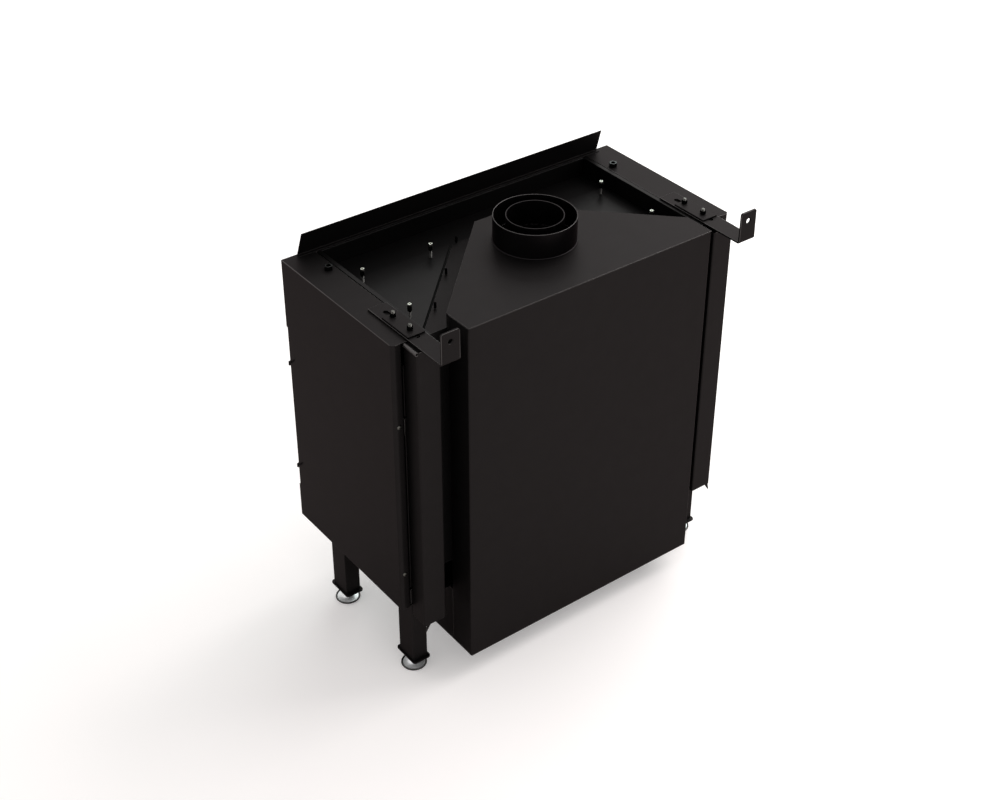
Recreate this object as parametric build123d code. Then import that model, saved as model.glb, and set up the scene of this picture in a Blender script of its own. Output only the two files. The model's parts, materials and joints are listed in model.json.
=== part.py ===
from build123d import *
import math
import os

# Built-in balanced-flue gas fireplace, millimetres, +Z up, glass towards -Y, rear towards +Y.
# Left and right are as seen from the front. The origin is on the floor, centred under the whole.
# Depths, called d, run forward from the rear face of the air duct.

# Sheet thicknesses and gaps
SHEET = 1.5
FIREBOX_SHEET = 2.0
CASING_BEND_R = 7.0
REVEAL = 0.5
CLEAR = 0.3
RUNNING_FIT = 0.05

# Outer casing
HALF_WIDTH = 374.0
CASING_BOTTOM = 173.0
CASING_TOP = 745.0
CASING_FRONT_D = 412.0
REAR_FLANGE = 17.0

# Air duct down the back, and the plenum at its foot
DUCT_INSET = 106.5
DUCT_HALF = HALF_WIDTH - DUCT_INSET
DUCT_DEPTH = 57.0
DUCT_BOTTOM = 49.0
PLENUM_DEPTH = 133.0
CASING_REAR_D = DUCT_DEPTH + 8.0

# Front zones: the glass stands between a lower and an upper cover
GLASS_BOTTOM = 247.5
GLASS_TOP = 606.0
GLASS_SETBACK = 3.5
VIEW_MARGIN = 15.0
PANE_THICKNESS = 5.0
GASKET_THICKNESS = 3.0
GASKET_WIDTH = 10.0
FRAME_LIP = 14.0
FRAME_FACE_D = CASING_FRONT_D - 12.0
FRAME_PLATE_D = FRAME_FACE_D - FIREBOX_SHEET

# Fire chamber and the shallow tray that forms its top
SIDE_SPACE = 74.0
FIREBOX_HALF = HALF_WIDTH - SIDE_SPACE
FLOOR_TOP = GLASS_BOTTOM - 1.5
RECESS_DEPTH = 36.0
LIP_WIDTH = 7.5
LINER_THICKNESS = 20.0
ROOF_TO_LINER = 69.0
RECESS_FLOOR = CASING_TOP - RECESS_DEPTH
LINER_TOP = RECESS_FLOOR - ROOF_TO_LINER
LINER_FACE_D = DUCT_DEPTH + FIREBOX_SHEET + LINER_THICKNESS
ROOF_HALF = FIREBOX_HALF + FIREBOX_SHEET
STRIP_INNER = ROOF_HALF + LIP_WIDTH + REVEAL

# Hood and flue collars
HOOD_HEIGHT = 63.0
HOOD_FRONT_D = 280.0
HOOD_STRAIGHT = 4.5
HOOD_FLANGE = 45.0
FLUE_D = 168.0
COLLAR_HEIGHT = 48.0
OUTER_FLUE_R = 75.0
INNER_FLUE_BORE_R = 50.5
SOCKET_DEPTH = COLLAR_HEIGHT - 3.0
INNER_PIPE_BORE_R = 48.0
HOOD_TOP = RECESS_FLOOR + HOOD_HEIGHT
RIM_TOP = HOOD_TOP + COLLAR_HEIGHT
# the diagonal walls run along x + d = HOOD_DIAGONAL
HOOD_DIAGONAL = DUCT_HALF + DUCT_DEPTH + HOOD_STRAIGHT
STUD_SPACING = 80.7
STUD_INSET = 7.0
STUD_HEIGHT = 19.0

# Relief hatches: right-angled triangles whose long side runs beside the hood's flange
HATCH_SLIT = 1.0
HATCH_THICKNESS = 2.0
HATCH_GASKET = 2.0
HATCH_LIFT = 13.0
HATCH_OPENING_INSET = 27.0
GUIDE_INSET = 17.0
SHANK_R = 3.0
GUIDE_HEAD_R = 5.0
GUIDE_HEAD = 4.0
SLEEVE_HEIGHT = 9.5
HATCH_SIDE_X = FIREBOX_HALF - 11.0
HATCH_FRONT_D = HOOD_FRONT_D + HOOD_FLANGE
HATCH_DIAGONAL = HOOD_DIAGONAL + HOOD_FLANGE * math.sqrt(2) + HATCH_SLIT
HATCH_LOW = RECESS_FLOOR + HATCH_GASKET
HATCH_TOP = HATCH_LOW + HATCH_THICKNESS
SLEEVE_LOW = HATCH_TOP + HATCH_LIFT + 1.0
SLEEVE_HIGH = SLEEVE_LOW + SLEEVE_HEIGHT

# Legs, their guides and feet
LEG_WIDE = 32.0
LEG_DEEP = 46.0
LEG_WALL = 2.0
LEG_BOTTOM = 30.0
FOOT_PLATE = 3.5
FOOT_DISC_R = 24.5
FOOT_NECK_R = 9.0
FOOT_RIM = 2.0
DISH_TOP = 6.5
STEM_R = 5.0
STEM_TOP = 62.0
BOSS_R = 9.0
LEG_GUIDE_WALL = 2.5
LEG_GUIDE_HEIGHT = 35.0
LEG_TOP = CASING_TOP - 50.0
LEG_X = FIREBOX_HALF + 18.0 + LEG_WIDE / 2
LEG_DEPTHS = {
    "rear": CASING_REAR_D + SHEET + 4.5 + LEG_DEEP / 2,
    "front": CASING_FRONT_D - 65.0 - LEG_DEEP / 2,
}
CONTROL_FLOOR = CASING_BOTTOM + SHEET
LOWER_GUIDE = (CONTROL_FLOOR, CONTROL_FLOOR + LEG_GUIDE_HEIGHT)
UPPER_GUIDE = (GLASS_TOP - 51.0, GLASS_TOP - 51.0 + LEG_GUIDE_HEIGHT)

# Rear channels
CHANNEL_REAR_D = 28.0
CHANNEL_BEND_R = 4.0
CHANNEL_BOTTOM = CASING_BOTTOM - 25.0

# Hexagon bolts, nuts and screws
BOLT_R = 4.0
BOLT_FLATS = 13.0
BOLT_HEAD = 5.3
NUT_HEIGHT = 6.5
STRIP_NUT_FLATS = 17.0
STRIP_NUT_HEIGHT = 8.0
STRIP_HOLE_R = 5.0
STRIP_NUT_X = STRIP_INNER + 14.0
STRIP_NUT_D = CASING_FRONT_D - 77.0
PAN_HEAD_R = 4.0
PAN_HEAD_HEIGHT = 2.5

# Wall brackets under their clamp plates
BRACKET_X = STRIP_INNER + 15.5
BRACKET_WIDE = 37.0
BRACKET_THICK = 3.5
BRACKET_AHEAD = 48.0
EAR_BEHIND = 32.0
EAR_HEIGHT = 61.0
EAR_HOLE_UP = 42.0
EAR_HOLE_R = 5.5
CLAMP_BOLT_REAR_D = CASING_REAR_D + 18.0
CLAMP_BOLT_SPACING = 50.0
SLOT_OVERRUN = 26.0
CLAMP_THICK = 3.0
CLAMP_BOLT_DEPTHS = (CLAMP_BOLT_REAR_D, CLAMP_BOLT_REAR_D + CLAMP_BOLT_SPACING)
CLAMP_LOW = CASING_TOP + BRACKET_THICK
CLAMP_HIGH = CLAMP_LOW + CLAMP_THICK

# Glass latches
LATCH_PIVOT_D = CASING_FRONT_D - 24.0
LATCH_PIVOT_HEIGHTS = {"lower": GLASS_BOTTOM + 65.5, "upper": GLASS_TOP - 58.0}
LATCH_DROP = 23.0
LATCH_REACH = 24.0
LATCH_HALF_WIDE = 5.0
LATCH_THICK = 3.0
LATCH_PIN_R = 2.5
LATCH_OUTER_X = HALF_WIDTH - 4.0
LATCH_FRONT_D = LATCH_PIVOT_D + LATCH_REACH + LATCH_HALF_WIDE

# Glass pane
PANE_HALF = HALF_WIDTH - 24.0
PANE_BOTTOM = GLASS_BOTTOM + 2.0
PANE_TOP = GLASS_TOP - 2.0
PANE_D = FRAME_FACE_D + GASKET_THICKNESS
VIEW_HALF_WIDTH = FIREBOX_HALF - 10.0
VIEW_BOTTOM = GLASS_BOTTOM + VIEW_MARGIN
VIEW_TOP = GLASS_TOP - VIEW_MARGIN

# Burner, log grate and pilot
BURNER_HALF = 230.0
BURNER_HEIGHT = 32.0
BURNER_FEET = 6.0
BURNER_WALL = 1.5
SLOTS_PER_ROW = 13
SLOT_PITCH = 30.0
GRATE_BAR = 8.0
GRATE_HALF = BURNER_HALF - 65.0
GRATE_OVERHANG = 28.0
BURNER_FRONT_D = FRAME_PLATE_D - 108.0
BURNER_REAR_D = LINER_FACE_D + 61.0
BURNER_LOW = FLOOR_TOP + BURNER_FEET
BURNER_TOP = BURNER_LOW + BURNER_HEIGHT
GRATE_TOP = BURNER_TOP + 12.0 + GRATE_BAR
LOG_REACH = BURNER_HALF - 5.0
PILOT_X = 130.0
PILOT_D = BURNER_FRONT_D + 13.0

# Air and gas under the fire
AIR_HOLE_HALF = 100.0
AIR_HOLE_D = (DUCT_DEPTH + 33.0, DUCT_DEPTH + 113.0)
GAS_LINE_D = CASING_FRONT_D - 67.0
GAS_LINE_Z = CONTROL_FLOOR + 21.5
SUPPLY_R = 6.0
BURNER_PIPE_R = 5.0
BURNER_PIPE_X = 170.0
BURNER_PIPE_D = BURNER_FRONT_D - 75.0
PILOT_PIPE_R = 2.0
INLET_X = -222.0
INLET_R = 10.0
INLET_BORE_R = 7.5
INLET_BOTTOM = CASING_BOTTOM - 23.0
VALVE_X = (120.0, 220.0)
VALVE_D = (GAS_LINE_D - 27.0, GAS_LINE_D + 27.0)
VALVE_TOP = FLOOR_TOP - FIREBOX_SHEET - 18.0
KNOB_X = {"gas_control_knob": 146.0, "flame_knob": 194.0}
KNOB_Z = CONTROL_FLOOR + 29.5
KNOB_R = 13.0
KNOB_LENGTH = 13.0
SPINDLE_R = 3.0
SPINDLE_LENGTH = 10.0
HANDLE_X = -195.0
HANDLE_LOW = GAS_LINE_Z + 15.0

# Small round stock is drawn with flat sides, except where something turns on it
SMALL_SIDES = 8
LOG_SIDES = 8
DISC_SIDES = 32

REAR_Y = (LATCH_FRONT_D - EAR_BEHIND) / 2
SIDES = {"left": -1, "right": 1}


def y_at(d):
    return REAR_Y - d


def block(x, d, z):
    """A box from its (low, high) extents across, forward of the duct's rear face, and up."""
    size = (x[1] - x[0], d[1] - d[0], z[1] - z[0])
    centre = ((x[0] + x[1]) / 2, y_at((d[0] + d[1]) / 2), (z[0] + z[1]) / 2)
    return Pos(*centre) * Box(*size)


def plate_from(points, z_low, z_high):
    """A flat plate with a straight-sided outline of (x, d) points."""
    outline = Polyline(*[(x, y_at(d)) for x, d in points], close=True)
    return Pos(0, 0, z_low) * extrude(make_face(outline), amount=z_high - z_low)


def bar_along_z(radius, length, sides):
    """Round when sides is 0, or else flat-sided, centred on the origin."""
    if sides:
        return Pos(0, 0, -length / 2) * extrude(RegularPolygon(radius, sides), amount=length)
    return Cylinder(radius, length)


def upright(radius, x, d, z_low, z_high, sides=0):
    return Pos(x, y_at(d), (z_low + z_high) / 2) * bar_along_z(radius, z_high - z_low, sides)


def forward_rod(radius, x, z, d_low, d_high, sides=0):
    """A bar lying front to back."""
    return Pos(x, y_at((d_low + d_high) / 2), z) * Rot(90, 0, 0) * bar_along_z(radius, d_high - d_low, sides)


def across_rod(radius, d, z, x_low, x_high, sides=0):
    """A bar lying from side to side."""
    return Pos((x_low + x_high) / 2, y_at(d), z) * Rot(0, 90, 0) * bar_along_z(radius, x_high - x_low, sides)


def hexagon(across_flats, x, d, z_low, z_high):
    sketch = Pos(x, y_at(d)) * RegularPolygon(across_flats / 2, 6, major_radius=False)
    return Pos(0, 0, z_low) * extrude(sketch, amount=z_high - z_low)


def mirrored(shape):
    return mirror(shape, about=Plane.YZ)


def on_side(shape, side):
    return shape if SIDES[side] > 0 else mirrored(shape)


def both_sides(shapes):
    return [*shapes, *[mirrored(shape) for shape in shapes]]


def save(name, shapes):
    """One node: its solids side by side, never fused."""
    solids = []
    for shape in shapes if isinstance(shapes, list) else [shapes]:
        solids += shape.solids()
    export_step(Compound(children=[Solid(s.wrapped) for s in solids]), f"parts/{name}.step")


# Outer casing

def latch_line_point(along, pivot_z):
    """A point on the line from a latch's pivot to its nose, 0 at the pivot and 1 at the nose."""
    return LATCH_PIVOT_D + along * LATCH_REACH, pivot_z - along * LATCH_DROP


def rear_upright_corner(shape):
    """The upright edge at a box's outer rear corner."""
    return shape.edges().filter_by(Axis.Z).sort_by(Axis.X)[-2:].sort_by(Axis.Y)[-1]


def side_casing():
    """Right side panel: web, rear flange and top strip folded from one sheet."""
    strip_wide = HALF_WIDTH - STRIP_INNER
    outer = block((STRIP_INNER, HALF_WIDTH), (CASING_REAR_D, CASING_FRONT_D), (CASING_BOTTOM, CASING_TOP))
    inner = block(
        (STRIP_INNER - strip_wide, HALF_WIDTH - SHEET),
        (CASING_REAR_D + SHEET, CASING_FRONT_D + strip_wide),
        (CASING_BOTTOM - strip_wide, CASING_TOP - SHEET),
    )
    shell = fillet(rear_upright_corner(outer), CASING_BEND_R)
    shell -= fillet(rear_upright_corner(inner), CASING_BEND_R - SHEET)
    # the rear flange is narrower than the strip
    shell -= block((STRIP_INNER - 1, HALF_WIDTH - REAR_FLANGE), (CASING_REAR_D - 1, CASING_REAR_D + 2 * SHEET),
                   (CASING_BOTTOM - 1, CASING_TOP - SHEET))
    # beside the glass the front edge stands back
    shell -= block((HALF_WIDTH - 2 * SHEET, HALF_WIDTH + 1), (CASING_FRONT_D - GLASS_SETBACK, CASING_FRONT_D + 1),
                   (GLASS_BOTTOM + REVEAL, GLASS_TOP))
    # slanted windows over the glass latches
    slant = math.degrees(math.atan2(LATCH_DROP, LATCH_REACH))
    for pivot_z in LATCH_PIVOT_HEIGHTS.values():
        d, z = latch_line_point(0.42, pivot_z)
        window = Rot(0, 90, 0) * extrude(Rot(0, 0, 90) * SlotOverall(22, 4), amount=2 * SHEET, both=True)
        shell -= Pos(HALF_WIDTH, y_at(d), z) * Rot(slant, 0, 0) * window
    # holes in the strip for the bracket bolts and for the front nut's rod
    strip_hole = (CASING_TOP - 2 * SHEET, CASING_TOP + 1)
    for d in CLAMP_BOLT_DEPTHS:
        shell -= upright(BOLT_R + CLEAR, BRACKET_X, d, *strip_hole, SMALL_SIDES)
    return shell - upright(STRIP_HOLE_R, STRIP_NUT_X, STRIP_NUT_D, *strip_hole, SMALL_SIDES)


def front_cover(z_low, z_high):
    """Folded tray of sheet, open at the rear, that closes a zone above or below the glass."""
    half = HALF_WIDTH - SHEET - REVEAL
    pan = block((-half, half), (FRAME_FACE_D, CASING_FRONT_D), (z_low, z_high))
    pan = fillet(pan.faces().sort_by(Axis.Y)[0].edges(), 0.8 * SHEET)
    return pan - block((SHEET - half, half - SHEET), (FRAME_FACE_D - 1, CASING_FRONT_D - SHEET),
                       (z_low + SHEET, z_high - SHEET))


def lower_front_cover():
    return front_cover(CASING_BOTTOM + REVEAL, GLASS_BOTTOM)


def upper_front_cover():
    return front_cover(GLASS_TOP + REVEAL, CASING_TOP - SHEET - REVEAL)


def panel_screws():
    """Pan heads: two in each rear flange, one at each end of both front covers."""
    heads = []
    flange_middle = HALF_WIDTH - REAR_FLANGE / 2
    for z in (CASING_BOTTOM + 83, CASING_TOP - 165):
        heads.append(forward_rod(PAN_HEAD_R, flange_middle, z, CASING_REAR_D - PAN_HEAD_HEIGHT, CASING_REAR_D,
                                 SMALL_SIDES))
    for z in ((CASING_BOTTOM + GLASS_BOTTOM) / 2, (GLASS_TOP + CASING_TOP) / 2):
        heads.append(forward_rod(PAN_HEAD_R, HALF_WIDTH - 29, z, CASING_FRONT_D, CASING_FRONT_D + PAN_HEAD_HEIGHT,
                                 SMALL_SIDES))
    return both_sides(heads)


def front_frame():
    """Upright plate that carries the glass; one opening to the fire, one to the gas controls."""
    half = HALF_WIDTH - SHEET
    through = (FRAME_PLATE_D - 1, FRAME_FACE_D + 1)
    plate = block((-half, half), (FRAME_PLATE_D, FRAME_FACE_D), (CONTROL_FLOOR, CASING_TOP - SHEET))
    plate -= block((-VIEW_HALF_WIDTH, VIEW_HALF_WIDTH), through, (VIEW_BOTTOM, VIEW_TOP))
    plate -= block((-FIREBOX_HALF, FIREBOX_HALF), through, (CONTROL_FLOOR + 10, FLOOR_TOP - 10))
    for pivot_z in LATCH_PIVOT_HEIGHTS.values():
        notch_low = pivot_z - LATCH_DROP - 3 * LATCH_HALF_WIDE
        notch = block((LATCH_OUTER_X - 16, half + 1), through, (notch_low, pivot_z + 4 * LATCH_HALF_WIDE))
        plate = plate - notch - mirrored(notch)
    return plate


def bottom_plate():
    """Floor of the gas-control space, pierced for the legs, the gas inlet and the burner's air."""
    half = HALF_WIDTH - SHEET
    through = (CASING_BOTTOM - 1, CONTROL_FLOOR + 1)
    plate = block((-half, half), (CASING_REAR_D + SHEET, FRAME_PLATE_D), (CASING_BOTTOM, CONTROL_FLOOR))
    plate = chamfer(plate.edges().filter_by(Axis.Z).sort_by(Axis.Y)[-2:], CASING_BEND_R)
    for d in LEG_DEPTHS.values():
        hole = block((LEG_X - LEG_WIDE / 2 - 1, LEG_X + LEG_WIDE / 2 + 1),
                     (d - LEG_DEEP / 2 - 1, d + LEG_DEEP / 2 + 1), through)
        plate = plate - hole - mirrored(hole)
    plate -= block((-AIR_HOLE_HALF, AIR_HOLE_HALF), AIR_HOLE_D, through)
    return plate - upright(INLET_R + 2, INLET_X, GAS_LINE_D, *through, SMALL_SIDES)


def deflector_plate():
    """Sheet that stands on the front edge of the top and leans back, with a folded foot."""
    foot_rear_d, foot_front_d, lean = CASING_FRONT_D - 13.0, CASING_FRONT_D - 2.0, 16.4
    rise, half, end_taper = 49.0, HALF_WIDTH - 31.4, 2.0
    foot_top = CASING_TOP + SHEET
    top_z = CASING_TOP + rise
    section = Polyline(
        (y_at(foot_rear_d), CASING_TOP), (y_at(foot_front_d), CASING_TOP),
        (y_at(foot_front_d - lean), top_z), (y_at(foot_front_d - lean - SHEET), top_z),
        (y_at(foot_front_d - 2 * SHEET), foot_top), (y_at(foot_rear_d), foot_top), close=True,
    )
    plate = extrude(Plane.YZ * make_face(section), amount=half, both=True)
    beyond = Polyline((half, CASING_TOP), (half + 9, CASING_TOP), (half + 9, top_z + 1),
                      (half - end_taper, top_z + 1), close=True)
    wedge = extrude(Plane.XZ * make_face(beyond), amount=CASING_FRONT_D, both=True)
    return plate - wedge - mirrored(wedge)


# Fire chamber

def triangle(inset):
    """Right-hand hatch outline moved in on all three sides by inset."""
    corner_x = HATCH_SIDE_X - inset
    corner_d = HATCH_FRONT_D - inset
    diagonal = HATCH_DIAGONAL + inset * math.sqrt(2)
    return [(corner_x, corner_d), (corner_x, diagonal - corner_x), (diagonal - corner_d, corner_d)]


def firebox_roof():
    """Flat plate over the chamber with the flue hole and two triangular relief openings."""
    low = RECESS_FLOOR - FIREBOX_SHEET
    roof = block((-ROOF_HALF, ROOF_HALF), (DUCT_DEPTH + FIREBOX_SHEET, FRAME_PLATE_D), (low, RECESS_FLOOR))
    roof -= upright(INNER_PIPE_BORE_R, 0, FLUE_D, low - 1, RECESS_FLOOR + 1)
    relief = plate_from(triangle(HATCH_OPENING_INSET), low - 1, RECESS_FLOOR + 1)
    return roof - relief - mirrored(relief)


def roof_rim():
    """Walls standing on the roof's edge, turned out into a lip at each side; open at the hood."""
    rear_d = DUCT_DEPTH + FIREBOX_SHEET
    rim = block((-ROOF_HALF, ROOF_HALF), (rear_d, FRAME_PLATE_D), (RECESS_FLOOR, CASING_TOP))
    rim -= block((-FIREBOX_HALF, FIREBOX_HALF), (rear_d + FIREBOX_SHEET, FRAME_PLATE_D - FIREBOX_SHEET),
                 (RECESS_FLOOR - 1, CASING_TOP + 1))
    lip = block((ROOF_HALF, ROOF_HALF + LIP_WIDTH), (rear_d, FRAME_PLATE_D), (CASING_TOP - SHEET, CASING_TOP))
    rim = rim + lip + mirrored(lip)
    return rim - block((-DUCT_HALF - 1, DUCT_HALF + 1), (DUCT_DEPTH, rear_d + 2 * FIREBOX_SHEET),
                       (RECESS_FLOOR - 1, CASING_TOP + 1))


def firebox_shell():
    """Back and both sides of the fire chamber, the back reaching out to the rear channels."""
    span = (FLOOR_TOP, RECESS_FLOOR - FIREBOX_SHEET)
    inner_half = FIREBOX_HALF - FIREBOX_SHEET
    back_half = FIREBOX_HALF + 12
    back = (DUCT_DEPTH, DUCT_DEPTH + FIREBOX_SHEET)
    shell = block((-FIREBOX_HALF, FIREBOX_HALF), (DUCT_DEPTH, FRAME_PLATE_D), span)
    shell -= block((-inner_half, inner_half), (back[1], FRAME_PLATE_D + 1), (span[0] - 1, span[1] + 1))
    return shell + block((-back_half, back_half), back, span)


def firebox_floor():
    through = (FLOOR_TOP - FIREBOX_SHEET - 1, FLOOR_TOP + 1)
    floor = block((-FIREBOX_HALF, FIREBOX_HALF), (DUCT_DEPTH, FRAME_PLATE_D), (FLOOR_TOP - FIREBOX_SHEET, FLOOR_TOP))
    floor -= block((-AIR_HOLE_HALF, AIR_HOLE_HALF), AIR_HOLE_D, through)
    floor -= upright(BURNER_PIPE_R + 1.5, BURNER_PIPE_X, BURNER_PIPE_D, *through, SMALL_SIDES)
    return floor - upright(PILOT_PIPE_R + 1, PILOT_X, PILOT_D, *through, SMALL_SIDES)


def firebox_liners():
    """Moulded boards against the back and both sides, with level brick joints."""
    half = FIREBOX_HALF - FIREBOX_SHEET
    rear_d = DUCT_DEPTH + FIREBOX_SHEET
    face_x = half - LINER_THICKNESS
    rear = block((-half, half), (rear_d, LINER_FACE_D), (FLOOR_TOP, LINER_TOP))
    side = block((face_x, half), (LINER_FACE_D, FRAME_PLATE_D), (FLOOR_TOP, LINER_TOP))
    courses = 6
    joint_half, joint_depth = 2.5, 2.5
    for course in range(1, courses):
        z = FLOOR_TOP + course * (LINER_TOP - FLOOR_TOP) / courses
        level = (z - joint_half, z + joint_half)
        rear -= block((-half - 1, half + 1), (LINER_FACE_D - joint_depth, LINER_FACE_D + 1), level)
        side -= block((face_x - 1, face_x + joint_depth), (LINER_FACE_D - 1, FRAME_PLATE_D + 1), level)
    return [rear, side, mirrored(side)]


def flue_baffle():
    """Plate below the flue outlet, hung from the roof by its two folded sides."""
    half, drop = 88.0, 52.0
    top = RECESS_FLOOR - FIREBOX_SHEET
    rear_d, front_d = FLUE_D - 83, FLUE_D + 117
    trough = block((-half, half), (rear_d, front_d), (top - drop, top))
    return trough - block((FIREBOX_SHEET - half, half - FIREBOX_SHEET), (rear_d - 1, front_d + 1),
                          (top - drop + FIREBOX_SHEET, top + 1))


# Air duct, hood and flue collars

def air_duct():
    """Tall flat duct, open under the hood's lid and into the plenum at its foot."""
    top = HOOD_TOP - SHEET
    inner_half = DUCT_HALF - SHEET
    duct = block((-DUCT_HALF, DUCT_HALF), (0, DUCT_DEPTH), (DUCT_BOTTOM, top))
    duct = fillet(duct.edges().filter_by(Axis.Z).sort_by(Axis.Y)[-2:], 2 * SHEET)
    duct -= block((-inner_half, inner_half), (SHEET, DUCT_DEPTH - SHEET), (DUCT_BOTTOM + SHEET, top + 1))
    front_wall = (DUCT_DEPTH - 2 * SHEET, DUCT_DEPTH + 1)
    duct -= block((-inner_half, inner_half), front_wall, (RECESS_FLOOR + SHEET, top + 1))
    return duct - block((-inner_half, inner_half), front_wall, (DUCT_BOTTOM + SHEET, CASING_BOTTOM - SHEET))


def air_plenum():
    """Box in front of the duct's foot that feeds air up to the burner."""
    front_d = DUCT_DEPTH + PLENUM_DEPTH
    inner_half = DUCT_HALF - SHEET
    box = block((-DUCT_HALF, DUCT_HALF), (DUCT_DEPTH, front_d), (DUCT_BOTTOM, CASING_BOTTOM))
    box -= block((-inner_half, inner_half), (DUCT_DEPTH - 1, front_d - SHEET),
                 (DUCT_BOTTOM + SHEET, CASING_BOTTOM - SHEET))
    return box - block((-AIR_HOLE_HALF, AIR_HOLE_HALF), AIR_HOLE_D, (CASING_BOTTOM - 2 * SHEET, CASING_BOTTOM + 1))


def hood_outline(half_rear, diagonal, front_d, rear_d):
    """Plan of the hood: straight sides, 45 degree diagonals and a narrow front."""
    right = [(half_rear, rear_d), (half_rear, diagonal - half_rear), (diagonal - front_d, front_d)]
    return right + [(-x, d) for x, d in reversed(right)]


def hood_lid():
    """Flat lid over the hood and the duct, with the hole for the flue."""
    lid = plate_from(hood_outline(DUCT_HALF, HOOD_DIAGONAL, HOOD_FRONT_D, 0), HOOD_TOP - SHEET, HOOD_TOP)
    return lid - upright(OUTER_FLUE_R - SHEET, 0, FLUE_D, HOOD_TOP - 2 * SHEET, HOOD_TOP + 1)


def hood_walls():
    """Mitred walls under the lid and the flange along their foot."""
    lid_low = HOOD_TOP - SHEET
    inner_diagonal = HOOD_DIAGONAL - SHEET * math.sqrt(2)
    walls = plate_from(hood_outline(DUCT_HALF, HOOD_DIAGONAL, HOOD_FRONT_D, DUCT_DEPTH), RECESS_FLOOR, lid_low)
    flange = plate_from(
        hood_outline(FIREBOX_HALF - 1, HATCH_DIAGONAL - HATCH_SLIT - 1, HATCH_FRONT_D, DUCT_DEPTH + 2 * FIREBOX_SHEET),
        RECESS_FLOOR, RECESS_FLOOR + SHEET)
    hollow = plate_from(hood_outline(DUCT_HALF - SHEET, inner_diagonal, HOOD_FRONT_D - SHEET, DUCT_DEPTH - 1),
                        RECESS_FLOOR - 1, lid_low + 1)
    return walls + flange - hollow


def hood_studs():
    """Three thin studs on each diagonal flange."""
    line = HOOD_DIAGONAL + (HOOD_FLANGE - STUD_INSET) * math.sqrt(2)
    foot = RECESS_FLOOR + SHEET
    studs = []
    for step in range(3):
        x = DUCT_HALF - 48.5 - step * STUD_SPACING
        studs.append(upright(2, x, line - x, foot, foot + STUD_HEIGHT, SMALL_SIDES))
    return both_sides(studs)


def flue_collar_outer():
    ring = upright(OUTER_FLUE_R, 0, FLUE_D, HOOD_TOP, RIM_TOP)
    return ring - upright(OUTER_FLUE_R - SHEET, 0, FLUE_D, HOOD_TOP - 1, RIM_TOP + 1)


def flue_collar_inner():
    """Pipe welded to the chamber's roof, its top widened into a socket for the flue."""
    socket_low = RIM_TOP - SOCKET_DEPTH
    taper_low = socket_low - 2 * (INNER_FLUE_BORE_R - INNER_PIPE_BORE_R)
    bore = [(INNER_FLUE_BORE_R, RIM_TOP), (INNER_FLUE_BORE_R, socket_low),
            (INNER_PIPE_BORE_R, taper_low), (INNER_PIPE_BORE_R, RECESS_FLOOR)]
    outside = [(r + SHEET, z) for r, z in reversed(bore)]
    pipe = revolve(Plane.XZ * make_face(Polyline(*bore, *outside, close=True)), Axis.Z)
    return Pos(0, y_at(FLUE_D), 0) * pipe


# Relief hatches

def guide_points():
    """Where the three guide screws of the right hatch stand."""
    corner, rear, inner = triangle(GUIDE_INSET)
    return [corner, (rear[0], rear[1] + GUIDE_INSET), (inner[0] + GUIDE_INSET, inner[1])]


def relief_hatch():
    plate = plate_from(triangle(0), HATCH_LOW, HATCH_TOP)
    for x, d in guide_points():
        plate -= upright(SHANK_R + 2 * CLEAR, x, d, HATCH_LOW - 1, HATCH_TOP + 1, SMALL_SIDES)
    return plate


def hatch_gaskets():
    """Flat seal round each relief opening."""
    seal = plate_from(triangle(HATCH_OPENING_INSET - 6), RECESS_FLOOR, HATCH_LOW)
    return both_sides([seal - plate_from(triangle(HATCH_OPENING_INSET), RECESS_FLOOR - 1, HATCH_LOW + 1)])


def hatch_guide_screws():
    screws = []
    for x, d in guide_points():
        shank = upright(SHANK_R, x, d, RECESS_FLOOR, SLEEVE_HIGH, SMALL_SIDES)
        screws.append(shank + upright(GUIDE_HEAD_R, x, d, SLEEVE_HIGH, SLEEVE_HIGH + GUIDE_HEAD, SMALL_SIDES))
    return both_sides(screws)


def hatch_stop_sleeves():
    sleeves = []
    for x, d in guide_points():
        tube = upright(GUIDE_HEAD_R, x, d, SLEEVE_LOW, SLEEVE_HIGH, SMALL_SIDES)
        sleeves.append(tube - upright(SHANK_R + RUNNING_FIT, x, d, SLEEVE_LOW - 1, SLEEVE_HIGH + 1, SMALL_SIDES))
    return both_sides(sleeves)


# Rear channels, legs and feet

def rear_channels():
    """Folded channel behind each rear leg, with a top tab and a chamfered tongue below."""
    x_inner, x_outer = FIREBOX_HALF + 3, LEG_X + LEG_WIDE / 2
    front_d = CASING_REAR_D + SHEET
    low, high = CHANNEL_BOTTOM, CASING_TOP - 3
    tab_wide = 11.0
    channel = block((x_inner, x_outer), (CHANNEL_REAR_D, front_d), (low, high))
    channel = fillet(channel.edges().filter_by(Axis.Z).sort_by(Axis.Y)[-2:], CHANNEL_BEND_R)
    hollow = block((x_inner + SHEET, x_outer - SHEET), (CHANNEL_REAR_D + SHEET, front_d + 9),
                   (low - 1, high - SHEET))
    channel -= fillet(hollow.edges().filter_by(Axis.Z).sort_by(Axis.Y)[-2:], CHANNEL_BEND_R - SHEET)
    # the inner flange ends at the chamber's back, and only a tab is left of the top
    channel -= block((x_inner - 1, x_outer - tab_wide), (DUCT_DEPTH, front_d + 1), (low - 1, high + 1))
    channel -= block((x_inner + SHEET, x_outer - tab_wide), (CHANNEL_REAR_D + SHEET, front_d + 1),
                     (high - 2 * SHEET, high + 1))
    tongue = Polyline((x_outer - 12, low), (x_outer - 4, low), (x_outer - 4, low - 15),
                      (x_outer - 5.5, low - 15), close=True)
    channel += Pos(0, y_at(CHANNEL_REAR_D), 0) * extrude(Plane.XZ * make_face(tongue), amount=SHEET)
    return both_sides([channel])


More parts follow.
